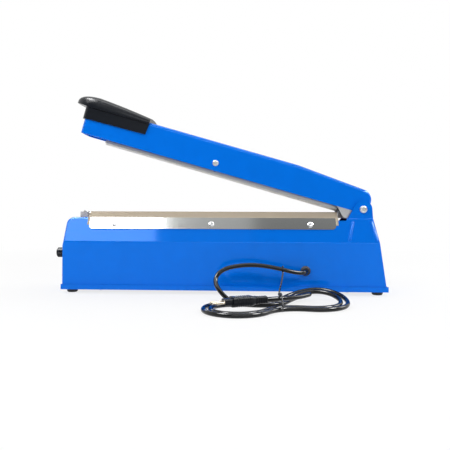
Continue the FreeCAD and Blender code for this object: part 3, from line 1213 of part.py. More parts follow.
def biarc(begin, heading, end, leaving):
    """Two arcs that meet smoothly, from a place and heading to the next place and heading."""
    span = end - begin
    both = heading + leaving
    spread = 2 * (1 - heading.dot(leaving))
    along = span.dot(both)
    if spread < 1e-9:
        reach = span.dot(span) / (2 * along)
    else:
        reach = (-along + math.sqrt(along * along + spread * span.dot(span))) / spread
    meet = (begin + end + (heading - leaving) * reach) * 0.5
    second = arc_to(end, leaving * -1, meet)
    return [arc_to(begin, heading, meet), second.reversed()]


def tube(edges, radius):
    """A round tube along edges that follow each other smoothly."""
    spine = Part.Wire(Part.__sortEdges__(edges))
    first = spine.OrderedEdges[0]
    begin = first.valueAt(first.FirstParameter)
    heading = first.tangentAt(first.FirstParameter)
    if first.Orientation == "Reversed":
        begin = first.valueAt(first.LastParameter)
        heading = first.tangentAt(first.LastParameter) * -1
    section = Part.Wire([Part.Circle(begin, heading, radius).toShape()])
    made = spine.makePipeShell([section], True, False)
    length = spine.Length
    print("tube volume over section times length", round(made.Volume / (math.pi * radius ** 2 * length), 4),
          "length", round(length, 1))
    return made, spine


def least_gap(spine, radius, step=2.0):
    """The least room between stretches of a tube that are not neighbours along it."""
    spots = spine.discretize(Distance=step)
    skip = int(4 * radius / step) + 3
    pairs = ((i, j) for i in range(len(spots)) for j in range(i + skip, len(spots)))
    gap, i, j = min((spots[i].distanceToPoint(spots[j]), i, j) for i, j in pairs)
    return round(gap - 2 * radius, 2), spots[i], spots[j]


hank_last = 14
stations = [hank_start()] + [hank_station(step) for step in range(1, hank_last + 1)]
plug_low = 2 * cord_radius + 0.3
plug_z = plug_low + size("plug_height") / 2 - cord_radius
tail = hank_lay.multVec(V(-1, 0, 0))
plug_end = hank_place(-13, -3, plug_z)
stations.append((plug_end - tail * 2 * cord_radius, tail))
hank_edges = [Part.LineSegment(stations[0][0] - stations[0][1] * 2 * cord_radius, stations[0][0]).toShape()]
for (begin, heading), (end, leaving) in zip(stations, stations[1:]):
    hank_edges += biarc(begin, heading, end, leaving)
hank_edges.append(Part.LineSegment(stations[-1][0], plug_end).toShape())
hank_shape, hank_spine = tube(hank_edges, cord_radius)
print("hank: least gap to itself", *least_gap(hank_spine, cord_radius))
piece(solid("hank", hank_shape), "cord_hank")


def rounded_route(points):
    """Straight runs joined by arcs, each as large as its two runs allow."""
    edges, here, radii = [], points[0], []
    for before, corner, after in zip(points, points[1:], points[2:]):
        into, out = corner - before, after - corner
        reach = 0.45 * min(into.Length, out.Length)
        begin = corner - V(into).normalize() * reach
        end = corner + V(out).normalize() * reach
        edges += [Part.LineSegment(here, begin).toShape(), arc_to(begin, V(into).normalize(), end)]
        radii.append(round(reach / math.tan(into.getAngle(out) / 2), 1))
        here = end
    edges.append(Part.LineSegment(here, points[-1]).toShape())
    print("bend radii", radii)
    return edges


exit_y = -size("half_base + grommet_reach")
arch_end = stations[0][0] - stations[0][1] * 2 * cord_radius
arch_route = [
    V(size("grommet_mid"), exit_y, size("grommet_z")),
    V(size("grommet_mid"), exit_y - 6, size("grommet_z")),
    V(size("grommet_mid") - 6, exit_y - 12.5, size("grommet_z") - 0.6),
    V(95, -64, 31.6), V(84, -66.5, 34.6), V(72, -67.5, 37.2), V(60, -69, 39.6), V(47, -71, 40.9),
    V(34, -74, 40.9), V(21, -78, 39.3), V(10.5, -81.8, 36.4), V(4, -86, 31.5), V(1.5, -90, 25.6),
    V(2.6, -94.6, 19.6), V(7.5, -99.5, 13.2), V(14, -103.2, 7),
    arch_end - stations[0][1] * 9, arch_end]
arch_shape, arch_spine = tube(rounded_route(arch_route), cord_radius)
piece(solid("arch", arch_shape), "mains_cord")
print("cord length", round(arch_spine.Length + hank_spine.Length, 1))

plug_frame = FreeCAD.Placement(plug_end, FreeCAD.Rotation(ALONG_Z, size("hank_turn") + 180))
plug = body("plug")
plug_half = "plug_width / 2"
pad(plug, outline(plug, "XY_Plane", [
    ("0", "-cord_across * 0.7"), ("plug_length * 0.3", "-cord_across * 0.8"),
    ("plug_length * 0.5", "-" + plug_half),
    ("plug_length", "-" + plug_half), ("plug_length", "-plug_width * 0.36"),
    ("plug_length + plug_nose", "-plug_width * 0.36"),
    ("plug_length + plug_nose", "plug_width * 0.36"), ("plug_length", "plug_width * 0.36"),
    ("plug_length", plug_half),
    ("plug_length * 0.5", plug_half), ("plug_length * 0.3", "cord_across * 0.8"),
    ("0", "cord_across * 0.7")]), "plug_height")
rounded(plug, "plug_height * 0.22", lambda edge: abs(edge.CenterOfMass.z) > size("plug_height") * 0.49)
plug.Placement = plug_frame
pin_ends = ("plug_length + plug_nose - 3", "plug_length + plug_nose + plug_pin_length")
pins = [rod("plug_pin_%d" % at, "x", ("%splug_pin_pitch / 2" % sign, "0"), "plug_pin", pin_ends)
        for at, sign in enumerate(("-", ""))]
pin_room = group("pin_room", *pins)
pin_room.Placement = plug_frame
piece(cut("plug_cut", plug, pin_room), "plug_body")
pin_set = group("pin_set", *pins)
pin_set.Placement = plug_frame
piece(pin_set, "plug_pins")

tie_radius = size("tie_across") / 2
tie_x = 75.0
tie_section = [(-24, 1.2), (-24, 7), (-8, 15), (5, 15), (19, 9.5), (36, 8.8)]
bend = math.radians(size("hank_turn"))
tie_route = []
for y, z in tie_section:
    x = (tie_x - hank_middle.x + y * math.sin(bend)) / math.cos(bend)
    tie_route.append(hank_place(x, y, z - cord_radius))
tie_route += [V(78, -84, 21), V(81, -71.4, 32.4)]
tie_shape, tie_spine = tube(rounded_route(tie_route), tie_radius)
piece(solid("tie", tie_shape), "cord_tie")

# Return spring: coils round the axle, one leg on the flat top and the other under the arm's roof.

wire = size("spring_wire") / 2
coil_radius = size("axle_across") / 2 + wire + size("spring_room")
spring_turns = int(size("spring_turns"))
pin = V(size("pin_x"), 0, size("pin_z"))
pitch = size("spring_step")


def coil_station(step):
    """The place and heading on the coil after some turns about the axle, from its lowest point."""
    angle = 2 * math.pi * step - math.pi / 2
    rise = pitch / (2 * math.pi * coil_radius)
    place = pin + V(coil_radius * math.cos(angle), pitch * (step - spring_turns / 2),
                    coil_radius * math.sin(angle))
    return place, V(-math.sin(angle), rise, math.cos(angle)).normalize()


coil = [coil_station(step / 2) for step in range(2 * spring_turns + 1)]
coil.append(coil_station(spring_turns + 0.25))
coil_edges = []
for (begin, heading), (end, leaving) in zip(coil, coil[1:]):
    coil_edges += biarc(begin, heading, end, leaving)
foot_end = coil[0][0] - coil[0][1] * size("spring_foot")
leg_end = coil[-1][0] + coil[-1][1] * size("spring_leg")
coil_edges.insert(0, Part.LineSegment(foot_end, coil[0][0]).toShape())
coil_edges.append(Part.LineSegment(coil[-1][0], leg_end).toShape())
spring_shape, spring_spine = tube(coil_edges, wire)
print("spring: least gap to itself", *least_gap(spring_spine, wire, 1.0))
piece(solid("spring", spring_shape), "return_spring")

doc.recompute()
failed = [thing.Name for thing in doc.Objects if {"Invalid", "Error"} & set(thing.State)]
if failed:
    raise RuntimeError("failed: " + ", ".join(failed))
os.makedirs("parts", exist_ok=True)
for thing in pieces:
    if thing.Shape.isNull() or not thing.Shape.isValid() or not thing.Shape.Solids:
        raise RuntimeError("bad shape: " + thing.Label)
for thing in pieces:
    thing.Shape.exportStep("parts/%s.step" % thing.Label)
print(len(pieces), "sub-parts; press travel", round(size("press_travel"), 3),
      "pin at", round(size("pin_x"), 3), round(size("pin_z"), 3))
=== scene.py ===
import math

import bpy
import numpy as np
from mathutils import Matrix, Vector


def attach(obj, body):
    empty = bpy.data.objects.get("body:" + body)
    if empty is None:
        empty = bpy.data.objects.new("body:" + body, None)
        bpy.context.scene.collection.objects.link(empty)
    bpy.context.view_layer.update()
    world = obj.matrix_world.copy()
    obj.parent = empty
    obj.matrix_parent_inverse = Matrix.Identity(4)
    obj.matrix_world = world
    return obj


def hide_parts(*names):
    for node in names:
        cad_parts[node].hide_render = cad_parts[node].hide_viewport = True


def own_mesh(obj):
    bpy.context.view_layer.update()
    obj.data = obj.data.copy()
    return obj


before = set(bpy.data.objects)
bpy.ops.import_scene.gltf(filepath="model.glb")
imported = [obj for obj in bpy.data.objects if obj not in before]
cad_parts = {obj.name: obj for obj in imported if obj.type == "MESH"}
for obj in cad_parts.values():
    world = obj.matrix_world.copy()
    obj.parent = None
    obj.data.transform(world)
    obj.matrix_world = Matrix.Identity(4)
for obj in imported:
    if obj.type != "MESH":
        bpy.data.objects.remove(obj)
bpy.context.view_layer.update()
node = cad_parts

# Transformer and timer board, shut inside the base: varnished laminations, a taped coil in a plated
# strap, and a green board on plastic spacers. Nothing shows them but an opened tray.

COAT_ROUGHNESS, NOISE_DETAIL, GRAIN_HEIGHT = 0.05, 3.0, 0.0002
MOTTLE_DARK, MOTTLE_FULL = 0.35, 0.65


def finish(name, colour, roughness, metallic=0.0, coat=0.0, shine=0.5, tint=(1.0, 1.0, 1.0),
           grain=0.0, grain_size=400.0, mottle=0.0):
    """A surface of one colour: noise on the piece's own coordinates lifts a fine bump by grain, and
    shifts the colour between itself and a darker share of itself by mottle."""
    made = bpy.data.materials.new(name)
    made.use_nodes = True
    tree = made.node_tree
    shader = tree.nodes["Principled BSDF"]
    shader.inputs["Base Color"].default_value = (*colour, 1.0)
    shader.inputs["Roughness"].default_value = roughness
    shader.inputs["Metallic"].default_value = metallic
    shader.inputs["Specular IOR Level"].default_value = shine
    shader.inputs["Specular Tint"].default_value = (*tint, 1.0)
    shader.inputs["Coat Weight"].default_value = coat
    shader.inputs["Coat Roughness"].default_value = COAT_ROUGHNESS
    place = tree.nodes.new("ShaderNodeTexCoord")
    noise = tree.nodes.new("ShaderNodeTexNoise")
    noise.inputs["Scale"].default_value = grain_size
    noise.inputs["Detail"].default_value = NOISE_DETAIL
    tree.links.new(place.outputs["Object"], noise.inputs["Vector"])
    if grain:
        bump = tree.nodes.new("ShaderNodeBump")
        bump.inputs["Strength"].default_value = grain
        bump.inputs["Distance"].default_value = GRAIN_HEIGHT
        tree.links.new(noise.outputs["Fac"], bump.inputs["Height"])
        tree.links.new(bump.outputs["Normal"], shader.inputs["Normal"])
    if mottle:
        ramp = tree.nodes.new("ShaderNodeValToRGB")
        ramp.color_ramp.elements[0].position = MOTTLE_DARK
        ramp.color_ramp.elements[0].color = (*[c * (1.0 - mottle) for c in colour], 1.0)
        ramp.color_ramp.elements[1].position = MOTTLE_FULL
        ramp.color_ramp.elements[1].color = (*colour, 1.0)
        tree.links.new(noise.outputs["Fac"], ramp.inputs["Fac"])
        tree.links.new(ramp.outputs["Color"], shader.inputs["Base Color"])
    return made


def dress(material, *names):
    """Give CAD nodes a material as their only one."""
    for name in names:
        node[name].data.materials.clear()
        node[name].data.materials.append(material)


lamination = finish("varnished_laminations", (0.10, 0.10, 0.11), 0.45, 0.7,
                    grain=0.3, grain_size=900, mottle=0.3)
coil_tape = finish("coil_tape", (0.62, 0.43, 0.12), 0.5, mottle=0.15)
zinc = finish("zinc_plate", (0.66, 0.67, 0.68), 0.3, 1.0, grain=0.05, grain_size=700, mottle=0.1)
board_green = finish("board_green", (0.03, 0.20, 0.08), 0.4, coat=0.4, mottle=0.1)
black_moulding = finish("black_moulding", (0.006, 0.008, 0.012), 0.28, coat=0.1, shine=0.2,
                        grain=0.03, grain_size=900)
dress(lamination, "transformer_core")
dress(coil_tape, "transformer_coil")
dress(zinc, "transformer_frame", "transformer_screws")
dress(board_green, "timer_board")
dress(black_moulding, "board_spacers", "board_parts")

# Tray and feet: the folded bottom in the housing's own blue, held by plated brackets and screws,
# standing on four black rubber feet.

BLUE = (0.0, 0.172, 0.80)
BLUE_SHEEN = (0.1, 0.32, 0.95)
blue_enamel = finish("blue_enamel", BLUE, 0.1, coat=0.14, shine=0.7, tint=BLUE_SHEEN,
                     grain=0.02, grain_size=60, mottle=0.03)
rubber = finish("black_rubber", (0.014, 0.014, 0.016), 0.6, grain=0.2, grain_size=1800, mottle=0.2)
dress(blue_enamel, "base_tray")
dress(zinc, "tray_brackets", "tray_screws", "foot_screws", "foot_nuts")
dress(rubber, "rubber_feet")

# Housing: one sheet of steel folded into walls, leaning shoulders and a flat top, in blue enamel.
# Two ears at one end carry the hinge, and below them two ridges are pressed into each shoulder, with
# sloping flanks and round ends, spread like the legs of the ear.

MM = 0.001
TOP_HEIGHT, HALF_TOP = 97.0, 23.0
SHOULDER_FOOT, HALF_BASE = 66.0, 40.0
SLOPE = math.atan((HALF_BASE - HALF_TOP) / (TOP_HEIGHT - SHOULDER_FOOT))
PIN = (185.95, 0.0, 108.2)
RIB_WIDTH, RIB_RISE, RIB_FLANK, RIB_ROOT = 4.5, 1.3, 1.5, 0.4
RIB_UPPER, RIB_LOWER = 6.4, 30.9
RIB_FEET = ((-14.0, -20.0), (9.6, 13.8))
RIB_RINGS, RIB_SIDES = (1, 1, 0.8, 0.6, 0.45, 0.33, 0.2, 0), 48
RIB_HARD_EDGE = 70.0
PROUD, TOP_MARGIN, LEAST_AREA = 0.02, 2.0, 1e-12


def grid_mesh(name, points, material, around=True):
    """A mesh over a grid of points, rows by columns, its columns closed into a ring where asked."""
    rows, columns = points.shape[:2]
    row, column = np.mgrid[0:rows - 1, 0:columns if around else columns - 1]
    after = (column + 1) % columns
    faces = np.stack([row * columns + column, row * columns + after,
                      (row + 1) * columns + after, (row + 1) * columns + column], axis=-1).reshape(-1, 4)
    mesh = bpy.data.meshes.new(name)
    mesh.from_pydata(points.reshape(-1, 3).tolist(), [], faces.tolist())
    mesh.materials.append(material)
    made = bpy.data.objects.new(name, mesh)
    bpy.context.collection.objects.link(made)
    return made


def soften(thing, angle=35.0):
    """Smooth a mesh's shading, with edges sharper than an angle left hard."""
    thing.data.polygons.foreach_set("use_smooth", np.ones(len(thing.data.polygons), dtype=bool))
    thing.data.set_sharp_from_angle(angle=math.radians(angle))
    return thing


def joined(name, grids, material):
    """Closed grids of points as one piece with one mesh."""
    made = [grid_mesh("%s_%d" % (name, at), points * MM, material) for at, points in enumerate(grids)]
    with bpy.context.temp_override(active_object=made[0], selected_editable_objects=made):
        bpy.ops.object.join()
    made[0].name = name
    return soften(made[0])


def flattened_housing(source):
    """The housing's triangles with all that stands proud of its shoulders, below the flat top, laid
    back along the shoulder's normal, and triangles left without an area dropped."""
    mesh = source.data.copy()
    mesh.transform(source.matrix_world)
    spots, normals = np.empty((len(mesh.vertices), 3)), np.empty((len(mesh.loops), 3))
    order = np.empty(len(mesh.loops), dtype=int)
    mesh.vertices.foreach_get("co", spots.ravel())
    mesh.corner_normals.foreach_get("vector", normals.ravel())
    mesh.loops.foreach_get("vertex_index", order)
    outward = np.stack([0 * spots[:, 1], np.sign(spots[:, 1]) * math.cos(SLOPE),
                        0 * spots[:, 1] + math.sin(SLOPE)], axis=1)
    above = ((np.abs(spots[:, 1]) - HALF_TOP * MM) * math.cos(SLOPE)
             + (spots[:, 2] - TOP_HEIGHT * MM) * math.sin(SLOPE))
    proud = (above > PROUD * MM) & (spots[:, 2] < (TOP_HEIGHT - TOP_MARGIN) * MM)
    spots[proud] -= above[proud, None] * outward[proud]
    normals[proud[order]] = outward[order][proud[order]]
    corners = spots[order].reshape(-1, 3, 3)
    area = np.linalg.norm(np.cross(corners[:, 1] - corners[:, 0], corners[:, 2] - corners[:, 0]), axis=1)
    kept = area > LEAST_AREA
    faces = np.arange(3 * kept.sum()).reshape(-1, 3)
    flat = bpy.data.meshes.new("housing_folded")
    flat.from_pydata(corners[kept].reshape(-1, 3).tolist(), [], faces.tolist())
    flat.polygons.foreach_set("use_smooth", np.ones(len(faces), dtype=bool))
    flat.normals_split_custom_set(normals.reshape(-1, 3, 3)[kept].reshape(-1, 3).tolist())
    flat.materials.append(blue_enamel)
    made = bpy.data.objects.new("housing_folded", flat)
    bpy.context.collection.objects.link(made)
    return made


def rib_points(feet, side):
    """A rib as rings round a line down the shoulder: each ring is the line's outline at a smaller
    distance, and its height climbs the flank in proportion and then stays at the rise."""
    angle = np.linspace(0, 2 * math.pi, RIB_SIDES, endpoint=False) * side
    lower = np.sin(angle) * side < 0
    spine = np.stack([np.where(lower, feet[1], feet[0]), np.where(lower, -RIB_LOWER, -RIB_UPPER)], axis=1)
    ring = np.stack([np.cos(angle), np.sin(angle) * side], axis=1)
    reach = np.array(RIB_RINGS) * RIB_WIDTH / 2
    rise = RIB_RISE * np.clip((RIB_WIDTH / 2 - reach) / RIB_FLANK, 0, 1)
    rise[0] = -RIB_ROOT
    flat = spine[None] + reach[:, None, None] * ring[None]
    up = np.array([0, -side * math.sin(SLOPE), math.cos(SLOPE)])
    out = np.array([0, side * math.cos(SLOPE), math.sin(SLOPE)])
    return (np.array([PIN[0], side * HALF_TOP, TOP_HEIGHT]) + flat[:, :, :1] * (1, 0, 0)
            + flat[:, :, 1:] * up + rise[:, None, None] * out)


housing = flattened_housing(node["base_housing"])
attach(housing, "base")
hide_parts("base_housing")
ribs = joined("shoulder_ribs", [rib_points(feet, side) for side in (-1, 1) for feet in RIB_FEET],
              blue_enamel)
soften(ribs, RIB_HARD_EDGE)
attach(ribs, "base")

# Switch: a black moulded snap switch with a red button, screwed to a plated hanger below the flat
# top. The bracket under the arm pushes the button as the arm closes.

button_red = finish("button_red", (0.50, 0.05, 0.04), 0.4, mottle=0.1)
dress(black_moulding, "switch_body")
dress(button_red, "switch_button")
dress(zinc, "switch_hanger", "switch_screws")

# Seal bed: a mill-finished aluminium bar, insulating tape, the heating ribbon between two pale
# moulded terminal blocks, and plated screws with a cross recess.

BED_LEFT, BED_RIGHT = -170.45, 155.55
BED_TOP, TAPE, RIBBON = 104.0, 0.3, 0.2
RIBBON_TOP = BED_TOP + TAPE + RIBBON
TERMINAL_LENGTH, TERMINAL_GAP = 10.0, 4.0
TERMINAL_SCREW = dict(across=6.0, height=2.0, shank=3.0, length=3.2)
# A screw head's rim and the cross recess in it are shares of the head's height and width.
HEAD_RIM, HEAD_FULLNESS = 0.45, 0.7
RECESS_HALF, RECESS_REACH, RECESS_DEPTH = 0.085, 0.30, 0.55
RECESS_WALL, RECESS_END = 0.35, 0.2
SCREW_RINGS, SCREW_SIDES = 15, 64
aluminium = finish("mill_aluminium", (0.74, 0.74, 0.73), 0.36, 1.0,
                   grain=0.1, grain_size=600, mottle=0.05)
pale_moulding = finish("pale_moulding", (0.60, 0.56, 0.52), 0.42, shine=0.3, mottle=0.1)
nichrome = finish("nichrome", (0.36, 0.33, 0.30), 0.35, 1.0, mottle=0.2)
tape_beige = finish("bed_tape_beige", (0.50, 0.41, 0.28), 0.6, mottle=0.1)
dress(aluminium, "seal_bed")
dress(tape_beige, "bed_tape")
dress(nichrome, "heating_element")
dress(pale_moulding, "left_terminal_block", "right_terminal_block")
dress(zinc, "bed_screws")


def pan_screw(across, height, shank, length):
    """A pan-head screw standing on its head's underside: a profile turned about the axis, its head an
    elliptic dome over an upright rim, with a cross recess where either axis passes within a slot."""
    rim = HEAD_RIM * height
    reach = np.linspace(1, 0, SCREW_RINGS)
    out = np.concatenate([[0, shank / 2, shank / 2, across / 2], across / 2 * reach])
    dome = rim + (height - rim) * np.sqrt(1 - reach ** 2) ** HEAD_FULLNESS
    up = np.concatenate([[-length, -length, 0, 0], dome])
    angle = np.linspace(0, 2 * math.pi, SCREW_SIDES, endpoint=False)
    x, y = out[:, None] * np.cos(angle), out[:, None] * np.sin(angle)
    z = np.repeat(up[:, None], len(angle), axis=1)
    slot, arm = RECESS_HALF * across, RECESS_REACH * across
    near = np.minimum(np.abs(x), np.abs(y))
    radius = np.hypot(x, y)
    wall = np.clip((slot - near) / (RECESS_WALL * slot), 0, 1)
    end = np.clip((arm - radius) / (RECESS_END * arm), 0, 1)
    z = z - np.where(z > rim, wall * end * RECESS_DEPTH * height, 0)
    return np.stack([x, y, z], axis=-1)


def screw_set(name, places, facing, body, **sizes):
    """Copies of one screw at places in millimetres, each turned to face its own way, as one piece."""
    lays = [np.array(Vector(way).to_track_quat("Z", "Y").to_matrix()) for way in facing]
    grids = [pan_screw(**sizes) @ lay.T + np.array(place) for place, lay in zip(places, lays)]
    screws = joined(name + "_turned", grids, zinc)
    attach(screws, body)
    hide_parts(name)


terminal_x = [BED_LEFT - TERMINAL_GAP - TERMINAL_LENGTH / 2, BED_RIGHT + TERMINAL_LENGTH / 2]
screw_set("terminal_screws", [(x, 0, RIBBON_TOP) for x in terminal_x], [(0, 0, 1)] * 2, "base",
          **TERMINAL_SCREW)

# Non-stick cloth: beige glass cloth with a slippery coating, stretched over the bed and the ribbon.
# Its long edges go down the shoulders and are held there under the two clamp plates.

CLOTH, CLOTH_HEM, CLOTH_MARGIN = 0.3, 11.0, 1.5
CLOTH_LEFT, CLOTH_RIGHT = BED_LEFT + CLOTH_MARGIN, BED_RIGHT - CLOTH_MARGIN
CLOTH_STEP, CLOTH_COLUMNS, CLOTH_SKIN = 1.5, 160, 0.9
BED_EDGE = 11.5
WAVE_DEPTH, WAVE_REACH = 0.05, 5.5
WAVE_SHORT, WAVE_LONG, WAVE_SHIFT = 9.0, 23.0, 1.0
TINY = 1e-9
cloth_beige = finish("coated_cloth", (0.56, 0.475, 0.36), 0.45, shine=0.08,
                     grain=0.25, grain_size=2200, mottle=0.06)
hem = np.array([math.sin(SLOPE), -math.cos(SLOPE)]) * CLOTH_HEM
half = np.array([(0, RIBBON_TOP), (BED_EDGE, RIBBON_TOP), (HALF_TOP, TOP_HEIGHT),
                 (HALF_TOP + hem[0], TOP_HEIGHT + hem[1])])


def along_line(points, spacing):
    """Points along straight runs at about equal spacing, with every corner kept."""
    runs = [np.linspace(a, b, max(2, int(np.linalg.norm(b - a) / spacing) + 1))[:-1]
            for a, b in zip(points, points[1:])]
    return np.concatenate(runs + [points[-1:]])


def cloth_points():
    """The cloth as a grid along the bed and over its section: the section's half runs from the middle
    over the bed's edge and down the shoulder and is mirrored; slow waves a few hundredths of a
    millimetre deep run along it where it bridges the edge."""
    near = along_line(half, CLOTH_STEP)
    line = np.concatenate([near[::-1], near[1:] * (-1, 1)])
    step = np.gradient(line, axis=0)
    normal = np.stack([-step[:, 1], step[:, 0]], axis=1) / np.linalg.norm(step, axis=1)[:, None]
    normal *= np.sign(normal[:, 1:2] + TINY)
    x = np.linspace(CLOTH_LEFT, CLOTH_RIGHT, CLOTH_COLUMNS)
    bridge = np.clip(1 - np.abs(np.abs(line[:, 0]) - (BED_EDGE + HALF_TOP) / 2) / WAVE_REACH, 0, 1)
    along = np.sin(x / WAVE_SHORT) + np.sin(x / WAVE_LONG + WAVE_SHIFT)
    wave = WAVE_DEPTH * bridge * along[:, None]
    face = line[None] + normal[None] * (CLOTH / 2 + wave[:, :, None])
    return np.concatenate([np.repeat(x[:, None, None], len(line), axis=1), face], axis=2)


cloth = soften(grid_mesh("cloth_stretched", cloth_points() * MM, cloth_beige, around=False))
skin = cloth.modifiers.new("cloth_thickness", "SOLIDIFY")
skin.thickness = CLOTH * MM * CLOTH_SKIN
skin.offset = 0.0
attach(cloth, "base")
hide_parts("ptfe_cloth")

# Clamp plates: two bright strips of rolled steel, each held on its shoulder over the cloth's hem by
# three plated pan-head screws with a cross recess.

PLATE, PLATE_DROP, PLATE_MIDDLE = 1.0, 0.8, 9.7
PLATE_SCREWS = (-133.05, -7.45, 118.15)
PLATE_ROW, PLATE_LIFT = PLATE_DROP + PLATE_MIDDLE, CLOTH + PLATE
CLAMP_SCREW = dict(across=7.0, height=2.1, shank=3.5, length=8.0)
bright_strip = finish("bright_strip", (0.76, 0.78, 0.77), 0.13, 1.0, grain=0.03, grain_size=120)
dress(bright_strip, "front_clamp_plate", "rear_clamp_plate")
row_y = HALF_TOP + PLATE_ROW * math.sin(SLOPE) + PLATE_LIFT * math.cos(SLOPE)
row_z = TOP_HEIGHT - PLATE_ROW * math.cos(SLOPE) + PLATE_LIFT * math.sin(SLOPE)
clamp_places = [(x, side * row_y, row_z) for side in (-1, 1) for x in PLATE_SCREWS]
clamp_facing = [(0, side * math.cos(SLOPE), math.sin(SLOPE)) for side in (-1, 1) for x in PLATE_SCREWS]
screw_set("clamp_screws", clamp_places, clamp_facing, "base", **CLAMP_SCREW)

# Hinge: a plated steel axle between the ears, with a pan-head screw and a washer at each side. The
# return spring, coiled from steel wire, sits round it and holds the arm up.

HINGE_SCREW = dict(across=9.6, height=2.6, shank=4.0, length=10.0)
spring_steel = finish("spring_steel", (0.42, 0.43, 0.45), 0.3, 1.0, mottle=0.15)
dress(zinc, "hinge_axle", "hinge_washers")
dress(spring_steel, "return_spring")
screw_set("hinge_screws", [(PIN[0], side * HALF_TOP, PIN[2]) for side in (-1, 1)],
          [(0, side, 0) for side in (-1, 1)], "base", **HINGE_SCREW)

# Arm: a channel folded from steel sheet, open below, in the same blue enamel. A plated cross screw
# with a nut carries the press bar, and a plated bracket, riveted inside, works the switch.

OPEN = math.radians(16.0)
CROSS_ALONG, CROSS_RISE, HALF_ARM = 198.0, 4.85, 20.5
CROSS_SCREW = dict(across=8.0, height=2.4, shank=4.0, length=44.95)
dress(blue_enamel, "arm_channel")
dress(zinc, "cross_nut", "push_bracket", "bracket_rivets")
cross_x = PIN[0] - CROSS_ALONG * math.cos(OPEN) + CROSS_RISE * math.sin(OPEN)
cross_z = PIN[2] + CROSS_ALONG * math.sin(OPEN) + CROSS_RISE * math.cos(OPEN)
screw_set("cross_screw", [(cross_x, -HALF_ARM, cross_z)], [(0, -1, 0)], "arm", **CROSS_SCREW)

# Press bar: an aluminium extrusion that floats on the cross screw, with white silicone in its groove.
# A bowed leaf of spring steel between it and the arm's roof would flatten as the bar is pressed home;
# here it keeps its bow.

silicone = finish("white_silicone", (0.82, 0.81, 0.79), 0.5, mottle=0.06)
dress(aluminium, "press_bar")
dress(silicone, "silicone_strip")
dress(spring_steel, "pressure_leaf")
leaf = node["pressure_leaf"]
arm_up = np.array([math.sin(OPEN), 0.0, math.cos(OPEN)])
leaf_spots = np.array([leaf.matrix_world @ corner.co for corner in leaf.data.vertices])
leaf_spots[(leaf_spots @ arm_up).argmin()]
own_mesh(leaf)

# Handle: a black moulded cap with a domed crown that ends in a lip, pushed over the end of the arm
# and held there by plated screws.

dress(black_moulding, "handle_grip")
dress(zinc, "handle_screws")

# Timer: a fluted black knob on the plated shaft of a potentiometer, which a nut holds in the end of
# the housing. A lamp with a clear red lens sits above it.

lamp_red = finish("lamp_red", (0.60, 0.03, 0.02), 0.15, coat=0.6, mottle=0.05)
dress(black_moulding, "timer_knob", "timer_potentiometer")
dress(zinc, "potentiometer_shaft", "potentiometer_nut")
dress(lamp_red, "indicator_lamp")

# Mains cord: a round cord in a glossy black vinyl sheath. It leaves the near wall through a rubber
# grommet, stands in a free arch and runs into a tied hank on the floor, up to the plug on top.

CORD = 5.2
GROMMET = (111.25, -HALF_BASE, 31.0)
GROMMET_REACH = 7.0
FLOOR_GAP, CORD_GAP = 0.05, 0.3
HANK = (69.0, -130.0, CORD / 2 + FLOOR_GAP)
HANK_TURN = math.radians(25.0)
HANK_REACH, HANK_HALF, HANK_WAIST = 88.0, 42.0, 25.0
HANK_STEP, HANK_WAIST_STEP = 7.6, 8.2
HANK_STATIONS, HANK_LAST = 6, 14
HANK_LIFT, HANK_LIFT_START = 12.0, 12.0
ARC_STEP, ARCH_LANDING = 7.0, 9.0
STRAIGHT = 1e-6
PLUG_HEIGHT, PLUG_WIDTH, PLUG_LENGTH, PLUG_NOSE = 11.0, 14.0, 40.0, 9.0
PLUG_ALONG, PLUG_ASIDE = -13.0, -3.0
crown_x = HANK_REACH - HANK_HALF


def hank_turned(x, y, z=0.0):
    """A direction given on the hank's long and cross axes, turned to the floor's axes."""
    c, s = math.cos(HANK_TURN), math.sin(HANK_TURN)
    return np.array([x * c - y * s, x * s + y * c, z])


def hank_place(x, y, z=0.0):
    """A point given on the hank's long and cross axes."""
    return np.array(HANK) + hank_turned(x, y, z)


def hank_station(step):
    """The place and heading at a step, six to a loop, each loop inside the last."""
    half_loop = HANK_HALF - HANK_STEP * step / HANK_STATIONS
    waist = HANK_WAIST - HANK_WAIST_STEP * step / HANK_STATIONS
    spots = [(-crown_x, half_loop, 1), (0, waist, 1), (crown_x, half_loop, 1),
             (crown_x, -half_loop, -1), (0, -waist, -1), (-crown_x, -half_loop, -1)]
    x, y, heading = spots[step % HANK_STATIONS]
    return hank_place(x, y), hank_turned(heading, 0)


def arc_points(begin, heading, end):
    """Points on the circular arc that leaves a point along a heading and reaches another: equal
    angles about the arc's centre."""
    chord = end - begin
    along = chord / np.linalg.norm(chord)
    across = heading - along * heading.dot(along)
    lean = np.linalg.norm(across)
    if lean < STRAIGHT:
        return begin + np.linspace(0, 1, max(2, int(np.linalg.norm(chord) / ARC_STEP)))[:, None] * chord
    angle = math.atan2(lean, heading.dot(along))
    radius = np.linalg.norm(chord) / (2 * math.sin(angle))
    count = max(2, int(2 * angle * radius / ARC_STEP) + 1)
    turn = np.linspace(0, 2 * angle, count)[:, None]
    inward = along * math.sin(angle) - (across / lean) * math.cos(angle)
    return begin + radius * (np.sin(turn) * heading + (1 - np.cos(turn)) * inward)


def biarc_points(begin, heading, end, leaving):
    """Points on two arcs that meet smoothly between two places with given headings."""
    span, both = end - begin, heading + leaving
    spread, along = 2 * (1 - heading.dot(leaving)), span.dot(both)
    if spread < TINY:
        reach = span.dot(span) / (2 * along)
    else:
        reach = (-along + math.sqrt(along * along + spread * span.dot(span))) / spread
    meet = (begin + end + (heading - leaving) * reach) / 2
    back = arc_points(end, -leaving, meet)[::-1]
    return np.concatenate([arc_points(begin, heading, meet)[:-1], back[:-1]])


